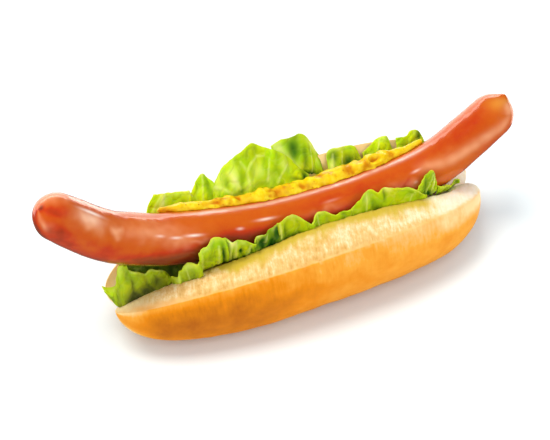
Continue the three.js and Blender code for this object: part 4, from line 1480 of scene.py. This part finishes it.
@dataclass
class Lettuce:
    """Every leaf, at its place between the roll and the frankfurter."""

    frame: Frame
    filling: Frankfurter
    leaves: tuple[Leaf, ...] = LEAVES
    step: float = 0.4  # mm between points of a leaf
    fewest: tuple[int, int] = (24, 14)  # points along a leaf and up it
    thickness: float = 0.45
    gap: float = 0.4  # mm from the frankfurter's skin
    quilt: float = 3.6  # mm between the creases of the small veins
    puff: float = 0.45  # mm, how far it puffs out between them
    tooth: float = 0.2  # mm, how uneven its free edge is
    shaded_front: tuple[float, float] = (0.4, 0.18)  # painted shade: how much darker at its root, and above that
    shaded_back: tuple[float, float] = (0.12, 0.06)

    def rib_field(self, leaf: Leaf, share: Array, up: Array, size: Array) -> Array:
        """How much of a rib there is at each place of a leaf.

        Args:
            leaf: the leaf.
            share: places along it.
            up: places up it.
            size: its mean width and height.

        Returns:
            The share of rib at each place.
        """
        spot = np.stack(np.broadcast_arrays(share, up), -1) * size
        found = np.zeros(spot.shape[:-1])
        for *ends, thick in leaf.ribs:
            start, end = np.reshape(ends, (2, 2)) * size
            way = end - start
            part = np.clip(((spot - start) @ way) / (way @ way), 0, 1)
            distance = np.linalg.norm(spot - start - part[..., None] * way, axis=-1)
            found = np.maximum(found, bell(distance, 0, 1.25 * thick * (1 - 0.5 * part)))
        return found

    def build_leaf(self, leaf: Leaf, material: bpy.types.Material, seed: int) -> Thing:
        """Builds one leaf.

        Args:
            leaf: its lines and its look.
            material: the finish that all leaves share.
            seed: picks its crinkles.

        Returns:
            The leaf's object.
        """
        root, edge = Line(leaf.root), Line(leaf.edge)
        least_along, least_up = self.fewest
        columns = max(least_along, int(edge.length / self.step))
        share = np.linspace(0, 1, columns)[:, None]
        foot, tip = root.at(share[:, 0]), edge.at(share[:, 0])
        tall = np.linalg.norm(tip - foot, axis=1)[:, None]
        size = np.array([(root.length + edge.length) / 2, tall.mean()])
        rows = max(least_up, int(size[1] / self.step))
        up = np.linspace(0, 1, rows)[None]
        rise = unit(tip - foot)
        front = unit(np.cross(np.array([1.0, 0.0, 0.0]), rise))
        sheet = np.stack(np.broadcast_arrays(share * size[0], up * tall, float(seed)), -1)
        warped = sheet + 1.2 * noise(sheet, 6.0, seed + 20)[..., None]
        creases = noise(warped, self.quilt, seed + 40)
        small = bell(creases, 0, 0.09) * (0.6 + 0.4 * noise(sheet, 5.0, seed + 30))
        rib = self.rib_field(leaf, share, up, size)
        pale, dark = (patches(share, up, given) for given in (leaf.pale, leaf.dark))
        cloud = noise(sheet, (3.0, 6.5, 3.0), seed + 60)
        wave = np.sin(2 * np.pi * tip[:, :1] / leaf.wave)
        out = leaf.belly * 4 * up * (1 - up) + leaf.ruffle * wave * up**2 + leaf.layer
        out = out + leaf.frill * noise(sheet, (2.6, 7.0, 3.0), seed) * up**2 + 0.5 * cloud
        out = out + self.puff * np.minimum(np.abs(creases) * 2.5, 1) + 0.3 * rib + 0.35 * pale - 1.1 * dark
        teeth = self.tooth * noise(sheet, (1.8, 30.0, 3.0), seed + 80) * up**6
        points = foot[:, None] + (tip - foot)[:, None] * up[..., None]
        points = points + front[:, None] * out[..., None] + rise[:, None] * teeth[..., None]
        points[..., 0] += leaf.spread * (2 * share - 1) * ease(1.0, 0.8, up)
        points = self.filling.push_out(points, self.gap)
        # a painted highlight along the free rim
        glow = ease(0.9, 1.0, up) * (0.3 + 0.4 * noise(sheet, (3.0, 9.0, 3.0), seed + 70))
        # painted shade: the dark hollows, the root, and where the sheet lies back
        low, high = self.shaded_front if leaf.name.startswith("lettuce_front") else self.shaded_back
        depth = leaf.depth + dark + low * ease(0.45, 0.0, up) + high * ease(0.2, 0.7, up)
        depth = depth + 0.22 * ease(0.1, -0.6, cloud)
        # the pale blotches add painted sheen to the ribs' mark
        marks = {
            "vein_and_sheen": 0.38 * rib + 0.85 * pale * (0.85 + 0.5 * cloud) + 0.2 * small * (1 - dark),
            "rim": glow,
            "depth": depth * (1 - 0.8 * pale),
            "dull": np.full(dark.shape, leaf.dull),
        }
        marks = {name: np.clip(values, 0, 1) for name, values in marks.items()}
        faces = grid_faces(columns, rows, False)
        made = self.frame.mesh_object(leaf.name.replace("lettuce", "leaf"), points, faces, marks)
        thicken = made.modifiers.new("thickness", "SOLIDIFY")
        thicken.thickness = self.thickness * MM
        thicken.offset = 0
        made.data.materials.append(material)
        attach(made, "root")
        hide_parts(leaf.name)
        return made

    def build(self) -> list[Thing]:
        """Builds every leaf."""
        material = LettuceLeaf().material()
        return [self.build_leaf(leaf, material, number) for number, leaf in enumerate(self.leaves)]


# ---- The whole ----


def corners() -> list[list[float]]:
    """The object's box as plain lists."""
    return [list(corner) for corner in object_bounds()]


def main() -> None:
    """Builds the hot dog and its studio."""
    logging.basicConfig(level=logging.INFO, format="%(name)s: %(message)s")
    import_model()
    frame = Frame()
    frame.locate()
    studio = Studio()
    studio.camera(frame)
    food = studio.build(frame)
    frankfurter = Frankfurter(frame)
    pieces = [frankfurter.build()]
    pieces.append(Roll(frame, frankfurter).build())
    pieces.append(Mustard(frame, frankfurter).build())
    pieces += Lettuce(frame, frankfurter).build()
    for piece in pieces:
        food.objects.link(piece)
        log.info("%s: %d faces", piece.name, len(piece.data.polygons))


if __name__ == "__main__":
    main()
